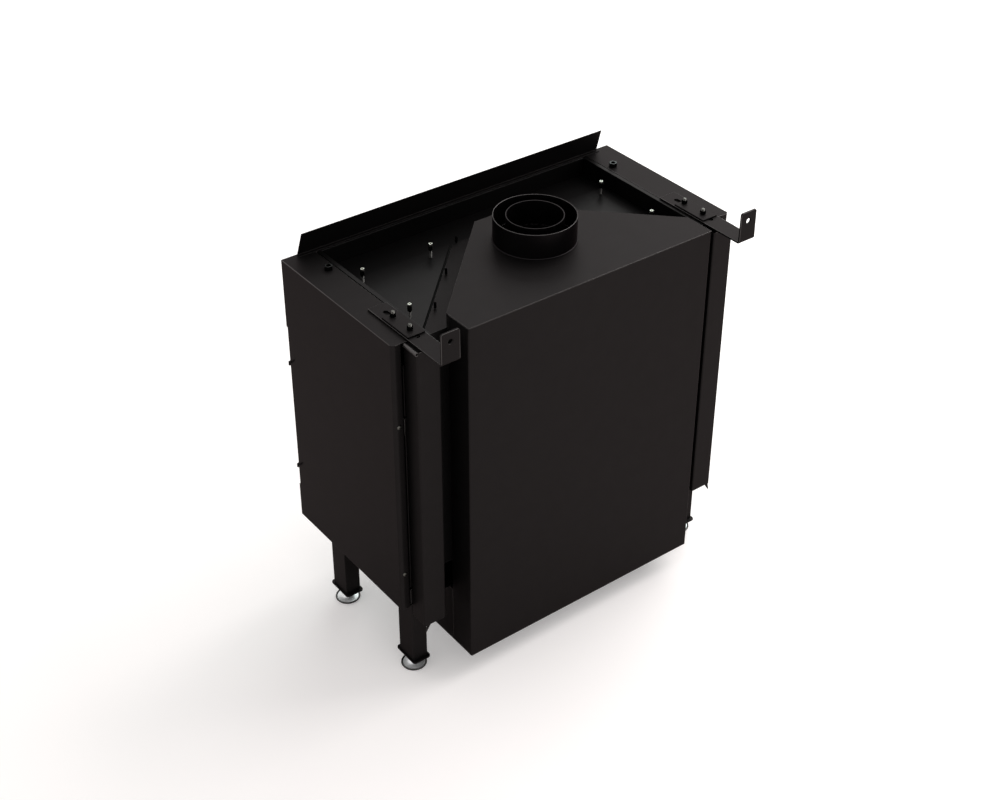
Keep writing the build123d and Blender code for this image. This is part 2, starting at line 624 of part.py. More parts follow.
def leg_guides():
    """Welded boxes that the leg tubes slide in: one on the bottom plate, one on the firebox side."""
    guides = []
    half_x = LEG_WIDE / 2 + CLEAR
    half_d = LEG_DEEP / 2 + CLEAR
    for where, d in LEG_DEPTHS.items():
        for span in (LOWER_GUIDE, UPPER_GUIDE):
            through = (span[0] - 1, span[1] + 1)
            guide = block((FIREBOX_HALF, LEG_X + half_x + LEG_GUIDE_WALL),
                          (d - half_d - LEG_GUIDE_WALL, d + half_d + LEG_GUIDE_WALL), span)
            guide -= block((LEG_X - half_x, LEG_X + half_x), (d - half_d, d + half_d), through)
            guide -= block((FIREBOX_HALF + LEG_GUIDE_WALL, LEG_X - half_x - LEG_GUIDE_WALL),
                           (d - half_d, d + half_d), through)
            if span is LOWER_GUIDE:
                guide -= lock_bolt_shank(where, BOLT_R + RUNNING_FIT)
            guides.append(guide)
    return both_sides(guides)


def lock_bolt_shank(where, radius):
    """Bar through the guide wall that faces the middle of the fire."""
    d = LEG_DEPTHS[where]
    z = CONTROL_FLOOR + LEG_GUIDE_HEIGHT / 2
    near = LEG_DEEP / 2 + CLEAR
    far = near + LEG_GUIDE_WALL
    reach = (d + near, d + far) if where == "rear" else (d - far, d - near)
    return forward_rod(radius, LEG_X, z, *reach, SMALL_SIDES)


def hex_bolts():
    """Bolts of one size: two under each strip for the clamp plate, one in each lower leg guide."""
    bolts = []
    for where, d in LEG_DEPTHS.items():
        face = LEG_DEEP / 2 + CLEAR + LEG_GUIDE_WALL
        head_low = d + face if where == "rear" else d - face - BOLT_HEAD
        head = Pos(LEG_X, y_at(head_low), CONTROL_FLOOR + LEG_GUIDE_HEIGHT / 2) * Rot(90, 0, 0) * extrude(
            RegularPolygon(BOLT_FLATS / 2, 6, major_radius=False), amount=BOLT_HEAD)
        bolts.append(lock_bolt_shank(where, BOLT_R) + head)
    strip_low = CASING_TOP - SHEET
    for d in CLAMP_BOLT_DEPTHS:
        head = hexagon(BOLT_FLATS, BRACKET_X, d, strip_low - BOLT_HEAD, strip_low)
        bolts.append(head + upright(BOLT_R, BRACKET_X, d, strip_low, CLAMP_HIGH + NUT_HEIGHT + 4, SMALL_SIDES))
    return both_sides(bolts)


def leg(d):
    """Rectangular tube with a foot plate and a threaded boss welded to its lower end."""
    half_x, half_d = LEG_WIDE / 2, LEG_DEEP / 2
    tube = block((LEG_X - half_x, LEG_X + half_x), (d - half_d, d + half_d), (LEG_BOTTOM, LEG_TOP))
    tube = chamfer(tube.edges().filter_by(Axis.Z), LEG_WALL * 0.7)
    tube -= block((LEG_X - half_x + LEG_WALL, LEG_X + half_x - LEG_WALL),
                  (d - half_d + LEG_WALL, d + half_d - LEG_WALL), (LEG_BOTTOM, LEG_TOP + 1))
    plate = block((LEG_X - half_x - 2, LEG_X + half_x + 2), (d - half_d - 2.5, d + half_d + 2.5),
                  (LEG_BOTTOM - FOOT_PLATE, LEG_BOTTOM))
    plate = chamfer(plate.edges().filter_by(Axis.Z), 4)
    boss = upright(BOSS_R, LEG_X, d, LEG_BOTTOM, LEG_BOTTOM + 8, SMALL_SIDES)
    return tube + plate + boss - upright(STEM_R + RUNNING_FIT, LEG_X, d, LEG_BOTTOM - FOOT_PLATE - 1,
                                         LEG_BOTTOM + 9, SMALL_SIDES)


def levelling_foot(d):
    """Dished disc in one piece with its threaded stem."""
    disc = extrude(RegularPolygon(FOOT_DISC_R, DISC_SIDES), amount=DISH_TOP)
    disc = chamfer(disc.faces().sort_by(Axis.Z)[-1].edges(), DISH_TOP - FOOT_RIM, FOOT_DISC_R - FOOT_NECK_R)
    stem = extrude(RegularPolygon(STEM_R, SMALL_SIDES), amount=STEM_TOP)
    collar = extrude(RegularPolygon(STEM_R + 2, SMALL_SIDES), amount=DISH_TOP + 4)
    return Pos(LEG_X, y_at(d), 0) * (disc + collar + stem)


# Wall brackets

def wall_bracket():
    """Flat bar on the strip with an ear bent up behind; slotted so that it slides."""
    low, half = CASING_TOP, BRACKET_WIDE / 2
    across = (BRACKET_X - half, BRACKET_X + half)
    bar = block(across, (-EAR_BEHIND, CLAMP_BOLT_DEPTHS[1] + BRACKET_AHEAD), (low, low + BRACKET_THICK))
    ear = block(across, (-EAR_BEHIND, BRACKET_THICK - EAR_BEHIND), (low, low + EAR_HEIGHT))
    bracket = bar + chamfer(ear.edges().filter_by(Axis.Y).sort_by(Axis.Z)[-2:], 3)
    heel = bracket.edges().filter_by(Axis.X).group_by(Axis.Z)[0].sort_by(Axis.Y)[-1]
    bracket = fillet(heel, BRACKET_THICK + 1.5)
    slot_low = CLAMP_BOLT_DEPTHS[0] - SLOT_OVERRUN
    slot_high = CLAMP_BOLT_DEPTHS[1] + SLOT_OVERRUN
    slot = Rot(0, 0, 90) * SlotOverall(slot_high - slot_low, 2 * (BOLT_R + 2 * CLEAR))
    bracket -= Pos(BRACKET_X, y_at((slot_low + slot_high) / 2), low - 1) * extrude(slot, amount=BRACKET_THICK + 2)
    return bracket - forward_rod(EAR_HOLE_R, BRACKET_X, low + EAR_HOLE_UP, -EAR_BEHIND - 1,
                                 BRACKET_THICK - EAR_BEHIND + 1)


def clamp_plates():
    """Plate over each bracket bar, pulled down by two bolts."""
    half = BRACKET_WIDE / 2 - 1.5
    rear_d, front_d = CLAMP_BOLT_DEPTHS[0] - 19, CLAMP_BOLT_DEPTHS[1] + 8
    plate = block((BRACKET_X - half, BRACKET_X + half), (rear_d, front_d), (CLAMP_LOW, CLAMP_HIGH))
    for d in CLAMP_BOLT_DEPTHS:
        plate -= upright(BOLT_R + CLEAR, BRACKET_X, d, CLAMP_LOW - 1, CLAMP_HIGH + 1, SMALL_SIDES)
    return both_sides([plate])


def top_nuts():
    """Nuts on the bracket bolts, and one larger nut on each strip above the front leg."""
    nuts = []
    for d in CLAMP_BOLT_DEPTHS:
        nut = hexagon(BOLT_FLATS, BRACKET_X, d, CLAMP_HIGH, CLAMP_HIGH + NUT_HEIGHT)
        nuts.append(nut - upright(BOLT_R + RUNNING_FIT, BRACKET_X, d, CLAMP_HIGH - 1,
                                  CLAMP_HIGH + NUT_HEIGHT + 1, SMALL_SIDES))
    nut = hexagon(STRIP_NUT_FLATS, STRIP_NUT_X, STRIP_NUT_D, CASING_TOP, CASING_TOP + STRIP_NUT_HEIGHT)
    nuts.append(nut - upright(STRIP_HOLE_R, STRIP_NUT_X, STRIP_NUT_D, CASING_TOP - 1,
                              CASING_TOP + STRIP_NUT_HEIGHT + 1, SMALL_SIDES))
    return both_sides(nuts)


# Glass and its latches

def picture_frame(half, z_low, z_high, border, d_low, d_high):
    """A rectangular ring standing upright."""
    ring = block((-half, half), (d_low, d_high), (z_low, z_high))
    return ring - block((border - half, half - border), (d_low - 1, d_high + 1), (z_low + border, z_high - border))


def glass_gasket():
    return picture_frame(VIEW_HALF_WIDTH + 6 + GASKET_WIDTH, PANE_BOTTOM + 2, PANE_TOP - 2, GASKET_WIDTH,
                         FRAME_FACE_D, PANE_D)


def glass_pane():
    return block((-PANE_HALF, PANE_HALF), (PANE_D, PANE_D + PANE_THICKNESS), (PANE_BOTTOM, PANE_TOP))


def glass_frame():
    """Angle-section steel frame round the pane, with a lug beside each latch."""
    half = PANE_HALF + SHEET + REVEAL
    front = PANE_D + PANE_THICKNESS
    frame = picture_frame(half, GLASS_BOTTOM, GLASS_TOP, SHEET, FRAME_FACE_D + 1, front)
    frame += picture_frame(half, GLASS_BOTTOM, GLASS_TOP, FRAME_LIP, front, front + SHEET)
    for pivot_z in LATCH_PIVOT_HEIGHTS.values():
        lug_z = pivot_z - LATCH_DROP
        lug = block((half, LATCH_OUTER_X - LATCH_THICK - 2), (front - 4, front + SHEET), (lug_z - 6, lug_z + 6))
        frame = frame + lug + mirrored(lug)
    return frame


def glass_latch(pivot_z):
    """Flat lever on a pin, its nose turned in over a lug of the glass frame."""
    reach = math.hypot(LATCH_DROP, LATCH_REACH)
    end = LATCH_HALF_WIDE
    corner = 0.4 * end
    outline = [(end, corner), (corner, end), (-reach - corner, end), (-reach - end, corner),
               (-reach - end, -corner), (-reach - corner, -end), (corner, -end), (end, -corner)]
    lever = extrude(Plane.YZ * make_face(Polyline(*outline, close=True)), amount=LATCH_THICK)
    slant = math.degrees(math.atan2(LATCH_DROP, LATCH_REACH))
    lever = Pos(LATCH_OUTER_X - LATCH_THICK, y_at(LATCH_PIVOT_D), pivot_z) * Rot(slant, 0, 0) * lever
    nose_z = pivot_z - LATCH_DROP
    lug_front = PANE_D + PANE_THICKNESS + SHEET
    nose = block((LATCH_OUTER_X - 14, LATCH_OUTER_X), (lug_front + CLEAR, LATCH_FRONT_D),
                 (nose_z - end - 0.5, nose_z + end + 0.5))
    nose = chamfer(nose.faces().sort_by(Axis.Y)[0].edges().filter_by(Axis.X), 2)
    return lever + nose - across_rod(LATCH_PIN_R + RUNNING_FIT, LATCH_PIVOT_D, pivot_z,
                                     LATCH_OUTER_X - LATCH_THICK - 1, LATCH_OUTER_X + 1)


def latch_pins():
    """Headed pins standing out from the inside of the side panels."""
    pins = []
    head_outer = LATCH_OUTER_X - LATCH_THICK - CLEAR
    for pivot_z in LATCH_PIVOT_HEIGHTS.values():
        pin = across_rod(LATCH_PIN_R, LATCH_PIVOT_D, pivot_z, head_outer - 1, HALF_WIDTH - SHEET)
        head = across_rod(4, LATCH_PIVOT_D, pivot_z, head_outer - 2.5, head_outer, SMALL_SIDES)
        pins.append(pin + head)
    return both_sides(pins)


# Burner, logs and pilot

def burner():
    """Hollow flat burner on two feet, with two rows of flame slots in its top."""
    body = block((-BURNER_HALF, BURNER_HALF), (BURNER_REAR_D, BURNER_FRONT_D), (BURNER_LOW, BURNER_TOP))
    body = chamfer(body.edges().filter_by(Axis.Z), 6)
    body -= block((8 - BURNER_HALF, BURNER_HALF - 8), (BURNER_REAR_D + BURNER_WALL, BURNER_FRONT_D - BURNER_WALL),
                  (BURNER_LOW + BURNER_WALL, BURNER_TOP - BURNER_WALL))
    for row_d in (BURNER_REAR_D + 40, BURNER_FRONT_D - 40):
        for step in range(SLOTS_PER_ROW):
            x = (step - (SLOTS_PER_ROW - 1) / 2) * SLOT_PITCH
            body -= block((x - 1.5, x + 1.5), (row_d - 14, row_d + 14), (BURNER_TOP - 2 * BURNER_WALL, BURNER_TOP + 1))
    body -= upright(BURNER_PIPE_R - 1, BURNER_PIPE_X, BURNER_PIPE_D, BURNER_LOW - 1, BURNER_LOW + 2 * BURNER_WALL,
                    SMALL_SIDES)
    for x in (20 - BURNER_HALF, BURNER_HALF - 20):
        body += block((x - 8, x + 8), (BURNER_REAR_D + 10, BURNER_FRONT_D - 10), (FLOOR_TOP, BURNER_LOW))
    return body


def log_grate():
    """Bars over the burner joined front and rear, on four legs."""
    rear_d, front_d = BURNER_REAR_D - GRATE_OVERHANG, BURNER_FRONT_D + GRATE_OVERHANG
    level = (GRATE_TOP - GRATE_BAR, GRATE_TOP)
    bars = 6
    grate = block((-GRATE_HALF - 20, GRATE_HALF + 20), (rear_d, rear_d + GRATE_BAR), level)
    grate += block((-GRATE_HALF - 20, GRATE_HALF + 20), (front_d - GRATE_BAR, front_d), level)
    for step in range(bars):
        x = -GRATE_HALF + step * 2 * GRATE_HALF / (bars - 1)
        grate += block((x - GRATE_BAR / 2, x + GRATE_BAR / 2), (rear_d, front_d), level)
    for x in (-GRATE_HALF - 16, GRATE_HALF + 16):
        for d in (rear_d, front_d - GRATE_BAR):
            grate += block((x - GRATE_BAR / 2, x + GRATE_BAR / 2), (d, d + GRATE_BAR), (FLOOR_TOP, GRATE_TOP))
    return grate


def rough_log(start, end, radius, seed):
    """A log between two (x, d, z) points: uneven many-sided sections, thicker and thinner."""
    a = Vector(start[0], y_at(start[1]), start[2])
    b = Vector(end[0], y_at(end[1]), end[2])
    along = b - a
    rings = []
    for t in (0, 1 / 3, 2 / 3, 1):
        swell = 1 + 0.10 * math.sin(seed + 4.1 * t) - 0.12 * abs(2 * t - 1)
        centre = a + along * t + Vector(0, 0, radius * 0.12 * math.sin(2.6 * t + seed))
        points = []
        for corner in range(LOG_SIDES):
            angle = 2 * math.pi * corner / LOG_SIDES
            bark = 1 + 0.07 * math.sin(3 * angle + seed + 2.2 * t) + 0.05 * math.sin(5 * angle + 2 * seed)
            points.append((radius * swell * bark * math.cos(angle), radius * swell * bark * math.sin(angle)))
        rings.append(Plane(origin=centre, z_dir=along) * make_face(Polyline(*points, close=True)))
    return loft(rings, ruled=True)


def ceramic_logs():
    """Five moulded logs: two long ones cut flat on the grate, three laid across and seated on them."""
    middle_d = (BURNER_REAR_D + BURNER_FRONT_D) / 2
    half_depth = (BURNER_FRONT_D - BURNER_REAR_D) / 2
    low = block((-FIREBOX_HALF, FIREBOX_HALF), (DUCT_DEPTH, FRAME_PLATE_D), (FLOOR_TOP, GRATE_TOP))

    def at(across, forward, up):
        """A point by its shares of the logs' reach and of half the burner's depth."""
        return across * LOG_REACH, middle_d + forward * half_depth, GRATE_TOP + up

    rear = rough_log(at(-1, -0.5, 28), at(0.98, -0.63, 30), 32, 0.4) - low
    front = rough_log(at(-0.91, 0.76, 22), at(0.84, 0.95, 24), 25, 2.0) - low
    across = [
        rough_log(at(-0.76, 1.46, 26), at(-0.42, -1.07, 80), 20, 3.1),
        rough_log(at(0.13, 1.44, 32), at(-0.18, -1.26, 86), 18, 4.4),
        rough_log(at(0.62, 1.41, 26), at(0.42, -1.16, 84), 21, 5.2),
    ]
    logs = [rear, front, *[log - low - rear - front for log in across]]
    return [max(log.solids(), key=lambda solid: solid.volume) for log in logs]


def pilot_assembly():
    """Bracket with the pilot's hood, spark electrode and flame sensor, beside the burner."""
    half, deck = 18.0, FLOOR_TOP + 6
    depth = (PILOT_D - 8, PILOT_D + 8)
    bracket = block((PILOT_X - half, PILOT_X + half), depth, (deck - 2, deck))
    for x in (PILOT_X - half, PILOT_X + half - 2):
        bracket += block((x, x + 2), depth, (FLOOR_TOP, deck))
    for radius, offset, height in ((4.5, 0, 28), (1.5, -11, 32), (1.5, 11, 30)):
        bracket += upright(radius, PILOT_X + offset, PILOT_D, deck, deck + height, SMALL_SIDES)
    return bracket


# Gas controls under the firebox floor

def gas_valve():
    """Cast valve body on two feet, with its magnet housing on top and two knob spindles in front."""
    body = block(VALVE_X, VALVE_D, (CONTROL_FLOOR + 5, VALVE_TOP))
    body = chamfer(body.edges().filter_by(Axis.Z), 4)
    for low in (VALVE_X[0], VALVE_X[1] - 18):
        body += block((low, low + 18), (VALVE_D[0] + 6, VALVE_D[1] - 6), (CONTROL_FLOOR, CONTROL_FLOOR + 5))
    body += upright(13, VALVE_X[1] - 15, GAS_LINE_D - 7, VALVE_TOP, VALVE_TOP + 12, SMALL_SIDES)
    for x in KNOB_X.values():
        body += forward_rod(7, x, KNOB_Z, VALVE_D[1], VALVE_D[1] + 2, SMALL_SIDES)
        body += forward_rod(SPINDLE_R, x, KNOB_Z, VALVE_D[1] + 2, VALVE_D[1] + 2 + SPINDLE_LENGTH)
    return body


def knob(x):
    """Eight-sided knob with a grip bar, on the valve's spindle."""
    rear = VALVE_D[1] + 2 + CLEAR
    front = rear + KNOB_LENGTH
    body = forward_rod(KNOB_R, x, KNOB_Z, rear, front, SMALL_SIDES)
    body = chamfer(body.faces().sort_by(Axis.Y)[0].edges(), 1)
    body += block((x - 1.5, x + 1.5), (front, front + 4), (KNOB_Z - KNOB_R + 2, KNOB_Z + KNOB_R - 2))
    return body - forward_rod(SPINDLE_R + RUNNING_FIT, x, KNOB_Z, rear - 1, VALVE_D[1] + 2 + SPINDLE_LENGTH + CLEAR)


def shut_off_valve():
    """Ball valve: threaded inlet down through the bottom plate, outlet towards the gas valve."""
    body_half = 25.0
    middle = INLET_X + 25.0
    outlet = middle + body_half
    body = across_rod(12, GAS_LINE_D, GAS_LINE_Z, middle - body_half - 12, outlet, SMALL_SIDES)
    body += upright(INLET_R, INLET_X, GAS_LINE_D, INLET_BOTTOM, GAS_LINE_Z, SMALL_SIDES)
    body += hexagon(26, INLET_X, GAS_LINE_D, INLET_BOTTOM, INLET_BOTTOM + 12)
    body += across_rod(9, GAS_LINE_D, GAS_LINE_Z, outlet, outlet + 10, SMALL_SIDES)
    body += upright(6, HANDLE_X, GAS_LINE_D, GAS_LINE_Z, HANDLE_LOW, SMALL_SIDES)
    body += upright(SPINDLE_R, HANDLE_X, GAS_LINE_D, HANDLE_LOW, HANDLE_LOW + 8)
    return body - upright(INLET_BORE_R, INLET_X, GAS_LINE_D, INLET_BOTTOM - 1, GAS_LINE_Z)


def shut_off_handle():
    """Flat lever that turns a quarter on the ball valve's stem."""
    low = HANDLE_LOW + CLEAR
    lever = block((HANDLE_X - 7, HANDLE_X + 7), (GAS_LINE_D - 8, GAS_LINE_D + 44), (low, low + 4))
    lever = chamfer(lever.edges().filter_by(Axis.Z), 3)
    return lever - upright(SPINDLE_R + RUNNING_FIT, HANDLE_X, GAS_LINE_D, low - 1, low + 5)


def pipe_along(points, corner_radius, pipe_radius):
    """A pipe through (x, d, z) points with a bend at each corner."""
    route = FilletPolyline(*[(x, y_at(d), z) for x, d, z in points], radius=corner_radius)
    return sweep((route ^ 0) * RegularPolygon(pipe_radius, SMALL_SIDES), path=route)


def gas_pipes():
    """Inlet line, burner supply and pilot supply."""
    supply = across_rod(SUPPLY_R, GAS_LINE_D, GAS_LINE_Z, INLET_X + 60, VALVE_X[0], SMALL_SIDES)
    burner_z = CONTROL_FLOOR + 30.5
    to_burner = pipe_along([(BURNER_PIPE_X, VALVE_D[0], burner_z), (BURNER_PIPE_X, BURNER_PIPE_D, burner_z),
                            (BURNER_PIPE_X, BURNER_PIPE_D, BURNER_LOW)], 15, BURNER_PIPE_R)
    pilot_z = VALVE_TOP - 10
    to_pilot = pipe_along([(PILOT_X, VALVE_D[0], pilot_z), (PILOT_X, PILOT_D, pilot_z),
                           (PILOT_X, PILOT_D, FLOOR_TOP + 4)], 8, PILOT_PIPE_R)
    return [supply, to_burner, to_pilot]


def receiver_box():
    """Moulded housing of the remote-control receiver, on the bottom plate."""
    box = block((-120, 60), (GAS_LINE_D - 110, GAS_LINE_D - 45), (CONTROL_FLOOR, CONTROL_FLOOR + 42))
    box = chamfer(box.edges().filter_by(Axis.Z), 5)
    return chamfer(box.faces().sort_by(Axis.Z)[-1].edges(), 2)


def build():
    os.makedirs("parts", exist_ok=True)
    for side in SIDES:
        save(f"side_casing_{side}", on_side(side_casing(), side))
        save(f"relief_hatch_{side}", on_side(relief_hatch(), side))
        save(f"wall_bracket_{side}", on_side(wall_bracket(), side))
        for where, d in LEG_DEPTHS.items():
            save(f"leg_{where}_{side}", on_side(leg(d), side))
            save(f"levelling_foot_{where}_{side}", on_side(levelling_foot(d), side))
        for height, pivot_z in LATCH_PIVOT_HEIGHTS.items():
            save(f"glass_latch_{height}_{side}", on_side(glass_latch(pivot_z), side))
    for name, x in KNOB_X.items():
        save(name, knob(x))
    single_nodes = (
        lower_front_cover, upper_front_cover, panel_screws, front_frame, bottom_plate, deflector_plate,
        firebox_roof, roof_rim, firebox_shell, firebox_floor, firebox_liners, flue_baffle, air_duct, air_plenum,
        hood_lid, hood_walls, hood_studs, flue_collar_outer, flue_collar_inner, hatch_gaskets,
        hatch_guide_screws, hatch_stop_sleeves, rear_channels, leg_guides, hex_bolts, clamp_plates, top_nuts,
        glass_gasket, glass_pane, glass_frame, latch_pins, burner, log_grate, ceramic_logs, pilot_assembly,
        gas_valve, shut_off_valve, shut_off_handle, gas_pipes, receiver_box,
    )
    for piece in single_nodes:
        save(piece.__name__, piece())


build()
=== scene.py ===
import json
import math

import bmesh
import bpy
from mathutils import Matrix, Quaternion, Vector, noise

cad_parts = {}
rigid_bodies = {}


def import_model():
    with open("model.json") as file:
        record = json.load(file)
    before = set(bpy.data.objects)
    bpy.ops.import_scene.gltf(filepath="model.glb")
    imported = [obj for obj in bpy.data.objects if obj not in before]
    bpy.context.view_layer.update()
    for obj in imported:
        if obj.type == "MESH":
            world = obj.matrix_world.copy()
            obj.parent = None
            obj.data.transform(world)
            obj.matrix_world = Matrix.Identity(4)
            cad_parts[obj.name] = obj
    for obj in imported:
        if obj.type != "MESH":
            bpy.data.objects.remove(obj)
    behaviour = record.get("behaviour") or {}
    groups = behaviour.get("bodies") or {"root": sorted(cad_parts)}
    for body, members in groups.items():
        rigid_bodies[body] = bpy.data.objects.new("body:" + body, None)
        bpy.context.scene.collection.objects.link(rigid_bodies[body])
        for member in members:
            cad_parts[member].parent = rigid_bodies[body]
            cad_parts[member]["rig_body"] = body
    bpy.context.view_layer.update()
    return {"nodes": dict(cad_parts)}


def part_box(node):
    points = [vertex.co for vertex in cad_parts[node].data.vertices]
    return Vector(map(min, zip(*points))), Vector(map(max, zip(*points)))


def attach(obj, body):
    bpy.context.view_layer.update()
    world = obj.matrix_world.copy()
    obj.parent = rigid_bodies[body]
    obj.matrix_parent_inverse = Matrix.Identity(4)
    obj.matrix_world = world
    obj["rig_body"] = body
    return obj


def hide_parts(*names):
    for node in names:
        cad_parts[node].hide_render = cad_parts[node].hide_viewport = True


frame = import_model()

MM = 0.001

# Fire chamber: back and sides, floor, and a flat roof with the flue hole. Sheet steel, welded, with a
# baked heat-resistant paint. It dries to a soft, slightly grainy black with long dull highlights.

def linear(code):
    """A hex colour as the eye sees it, in the linear values that light is worked out with."""
    shares = [int(code[start:start + 2], 16) / 255 for start in (0, 2, 4)]
    return [c / 12.92 if c <= 0.04045 else ((c + 0.055) / 1.055) ** 2.4 for c in shares] + [1.0]


def add_node(material, kind, settings=None, links=None):
    """One node, with its settings, and its inputs linked from (node, output) pairs."""
    node = material.node_tree.nodes.new(kind)
    for name, value in (settings or {}).items():
        if isinstance(name, int) or name in node.inputs:
            node.inputs[name].default_value = value
        else:
            setattr(node, name, value)
    for name, (source, output) in (links or {}).items():
        material.node_tree.links.new(source.outputs[output], node.inputs[name])
    return node


def bare_material(name):
    material = bpy.data.materials.new(name)
    material.use_nodes = True
    material.node_tree.nodes.clear()
    return material


def finish(name, colours, roughness, grain_mm, bump_mm, settings=None, stretch=(1, 1, 1), detail=4):
    """A finish whose roughness and relief follow a grain of a real size, and whose colour drifts
    between two values over patches of forty grains."""
    patch_mm = 40 * grain_mm
    material = bare_material(name)
    place = add_node(material, "ShaderNodeTexCoord")
    along = add_node(material, "ShaderNodeMapping", {"Scale": stretch}, {"Vector": (place, "Object")})
    grain = add_node(material, "ShaderNodeTexNoise",
                     {"Scale": 1 / (grain_mm * MM), "Detail": detail, "Roughness": 0.6},
                     {"Vector": (along, 0)})
    patches = add_node(material, "ShaderNodeTexNoise", {"Scale": 1 / (patch_mm * MM), "Detail": 3},
                       {"Vector": (along, 0)})
    shade = add_node(material, "ShaderNodeMix",
                     {"data_type": "RGBA", 6: linear(colours[0]), 7: linear(colours[1])},
                     {0: (patches, 0)})
    gloss = add_node(material, "ShaderNodeMapRange", {"To Min": roughness[0], "To Max": roughness[1]},
                     {"Value": (grain, 0)})
    relief = add_node(material, "ShaderNodeBump", {"Distance": bump_mm * MM, "Strength": 0.6},
                      {"Height": (grain, 0)})
    surface = add_node(material, "ShaderNodeBsdfPrincipled", settings,
                       {"Base Color": (shade, 2), "Roughness": (gloss, 0), "Normal": (relief, 0)})
    add_node(material, "ShaderNodeOutputMaterial", None, {"Surface": (surface, 0)})
    return material


def sharp_edges(shell, angle):
    """The edges where the surface turns by more than the angle, in degrees."""
    return [e for e in shell.edges
            if len(e.link_faces) == 2 and e.calc_face_angle(0) > math.radians(angle)]


def narrow_side(edge):
    """How wide the narrower of the two faces beside an edge is."""
    return min(face.calc_area() for face in edge.link_faces) / edge.calc_length()


def rounded(shell, edges, width_mm, segments=2, material=-1, clamp=False):
    """Rounds the edges. The new faces take the material with this number, or at -1 their neighbours'."""
    bmesh.ops.bevel(shell, geom=edges, offset=width_mm * MM, segments=segments, profile=0.5,
                    affect="EDGES", material=material, clamp_overlap=clamp)


def object_of(name, shell, material):
    """A shown piece from a finished bmesh, shaded smooth except over its sharp edges."""
    mesh = bpy.data.meshes.new(name)
    shell.to_mesh(mesh)
    shell.free()
    mesh.shade_smooth()
    mesh.set_sharp_from_angle(angle=math.radians(40))
    mesh.materials.append(material)
    piece = bpy.data.objects.new(name, mesh)
    bpy.context.scene.collection.objects.link(piece)
    even = piece.modifiers.new("flat_faces_stay_flat", "WEIGHTED_NORMAL")
    even.keep_sharp = True
    even.weight = 100
    return piece


def stands_for(piece, node):
    """The piece is shown for the node: it moves with the node's body, and the node is hidden."""
    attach(piece, frame["nodes"][node]["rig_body"])
    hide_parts(node)
    return piece


touching = 0.01 * MM


def welded_copy(node):
    """A copy of the node's loose triangles, joined where their corners meet."""
    shell = bmesh.new()
    shell.from_mesh(frame["nodes"][node].data)
    bmesh.ops.remove_doubles(shell, verts=shell.verts, dist=touching)
    return shell


def flat_faced_copy(node, flat_within=1):
    """A copy of the node, with neighbouring faces merged where they turn by less than this, in degrees."""
    shell = welded_copy(node)
    bmesh.ops.dissolve_limit(shell, angle_limit=math.radians(flat_within), verts=shell.verts,
                             edges=shell.edges)
    return shell


fold_angle = 40
shortest_fold = 12 * MM
narrowest_leaf = 6 * MM
cut_angle = 50
shortest_cut = 3 * MM


def dressed(node, material, fold_mm=0, cut_mm=0.3, highlight_finish=None, shell=None):
    """The piece as it leaves the shop. Folds, which are long edges between wide faces, are round, and
    cut edges are just broken, but for the short steps of round holes. Where a highlight finish is given,
    the rounded edges take it: a lighter coat that paints their highlights."""
    shell = shell or flat_faced_copy(node)
    edge_material = 1 if highlight_finish else -1
    folds = [e for e in sharp_edges(shell, fold_angle)
             if e.calc_length() > shortest_fold and narrow_side(e) > narrowest_leaf]
    if folds and fold_mm:
        rounded(shell, folds, width_mm=fold_mm, segments=3, material=edge_material)
    cuts = [e for e in sharp_edges(shell, cut_angle) if e.calc_length() > shortest_cut]
    rounded(shell, cuts, width_mm=cut_mm, material=edge_material)
    piece = object_of(f"{node}_formed", shell, material)
    if highlight_finish:
        piece.data.materials.append(highlight_finish)
    return stands_for(piece, node)


def black_coat(name, colours, roughness):
    """Black paint scatters next to no light, and mirrors a little, about as much head-on as at a slant."""
    return finish(name, colours, roughness, grain_mm=0.8, bump_mm=0.02,
                  settings={"Metallic": 1.0, "Specular Tint": linear("c8c4c4")})


heat_paint = black_coat("heat_resistant_black_paint", ("242323", "272626"), roughness=(0.36, 0.44))
for node in ("firebox_shell", "firebox_floor", "firebox_roof"):
    dressed(node, heat_paint)

# Chamber linings: three boards of pressed mineral fibre with level brick joints moulded in, stood loose
# against the back and sides. They look dull, open-pored and dark.

mineral_board = finish("pressed_mineral_board", ("1d1b1a", "2b2826"), roughness=(0.85, 0.97),
                       grain_mm=3.0, bump_mm=0.3, detail=8)
dressed("firebox_liners", mineral_board, cut_mm=0.15)

# Flue baffle: a stainless steel trough hung under the roof, which turns the flue gas before it leaves. The
# gas has browned it, and its rolled grain runs from side to side.

tinted_steel = finish("heat_tinted_stainless_steel", ("4d463f", "6a625a"), roughness=(0.3, 0.45),
                      grain_mm=3, bump_mm=0.01, settings={"Metallic": 1.0}, stretch=(0.1, 1, 1))
dressed("flue_baffle", tinted_steel, fold_mm=1.6)

# Outer casing: side panels, bottom plate, front plate and the two front covers, folded from 1.5 mm
# steel sheet and screwed together. The powder coat is an even matt black. Folds and edges get a lighter
# coat, a painted highlight that shows them as fine grey lines.

powder_coat = black_coat("matt_black_powder_coat", ("242222", "272525"), roughness=(0.46, 0.54))
# A lighter grey coat for rounded folds, rims and hems, which paints their highlights.
painted_highlight_coat = black_coat("powder_coat_painted_highlight", ("4c4949", "5e5b5a"), roughness=(0.36, 0.46))
for node in ("side_casing_left", "side_casing_right", "lower_front_cover", "upper_front_cover",
             "front_frame", "bottom_plate"):
    dressed(node, powder_coat, fold_mm=1.2, cut_mm=0.45, highlight_finish=painted_highlight_coat)

# Panel screws: steel pan heads with a round recess for the driver, in the rear flanges and front covers.
# Their zinc plate has gone dull: a mid-grey metal with soft highlights.

dull_zinc = finish("dull_zinc_plate", ("4a4946", "64625d"), roughness=(0.32, 0.45), grain_mm=1.5,
                   bump_mm=0.01, settings={"Metallic": 1.0})
seam = 0.001 * MM


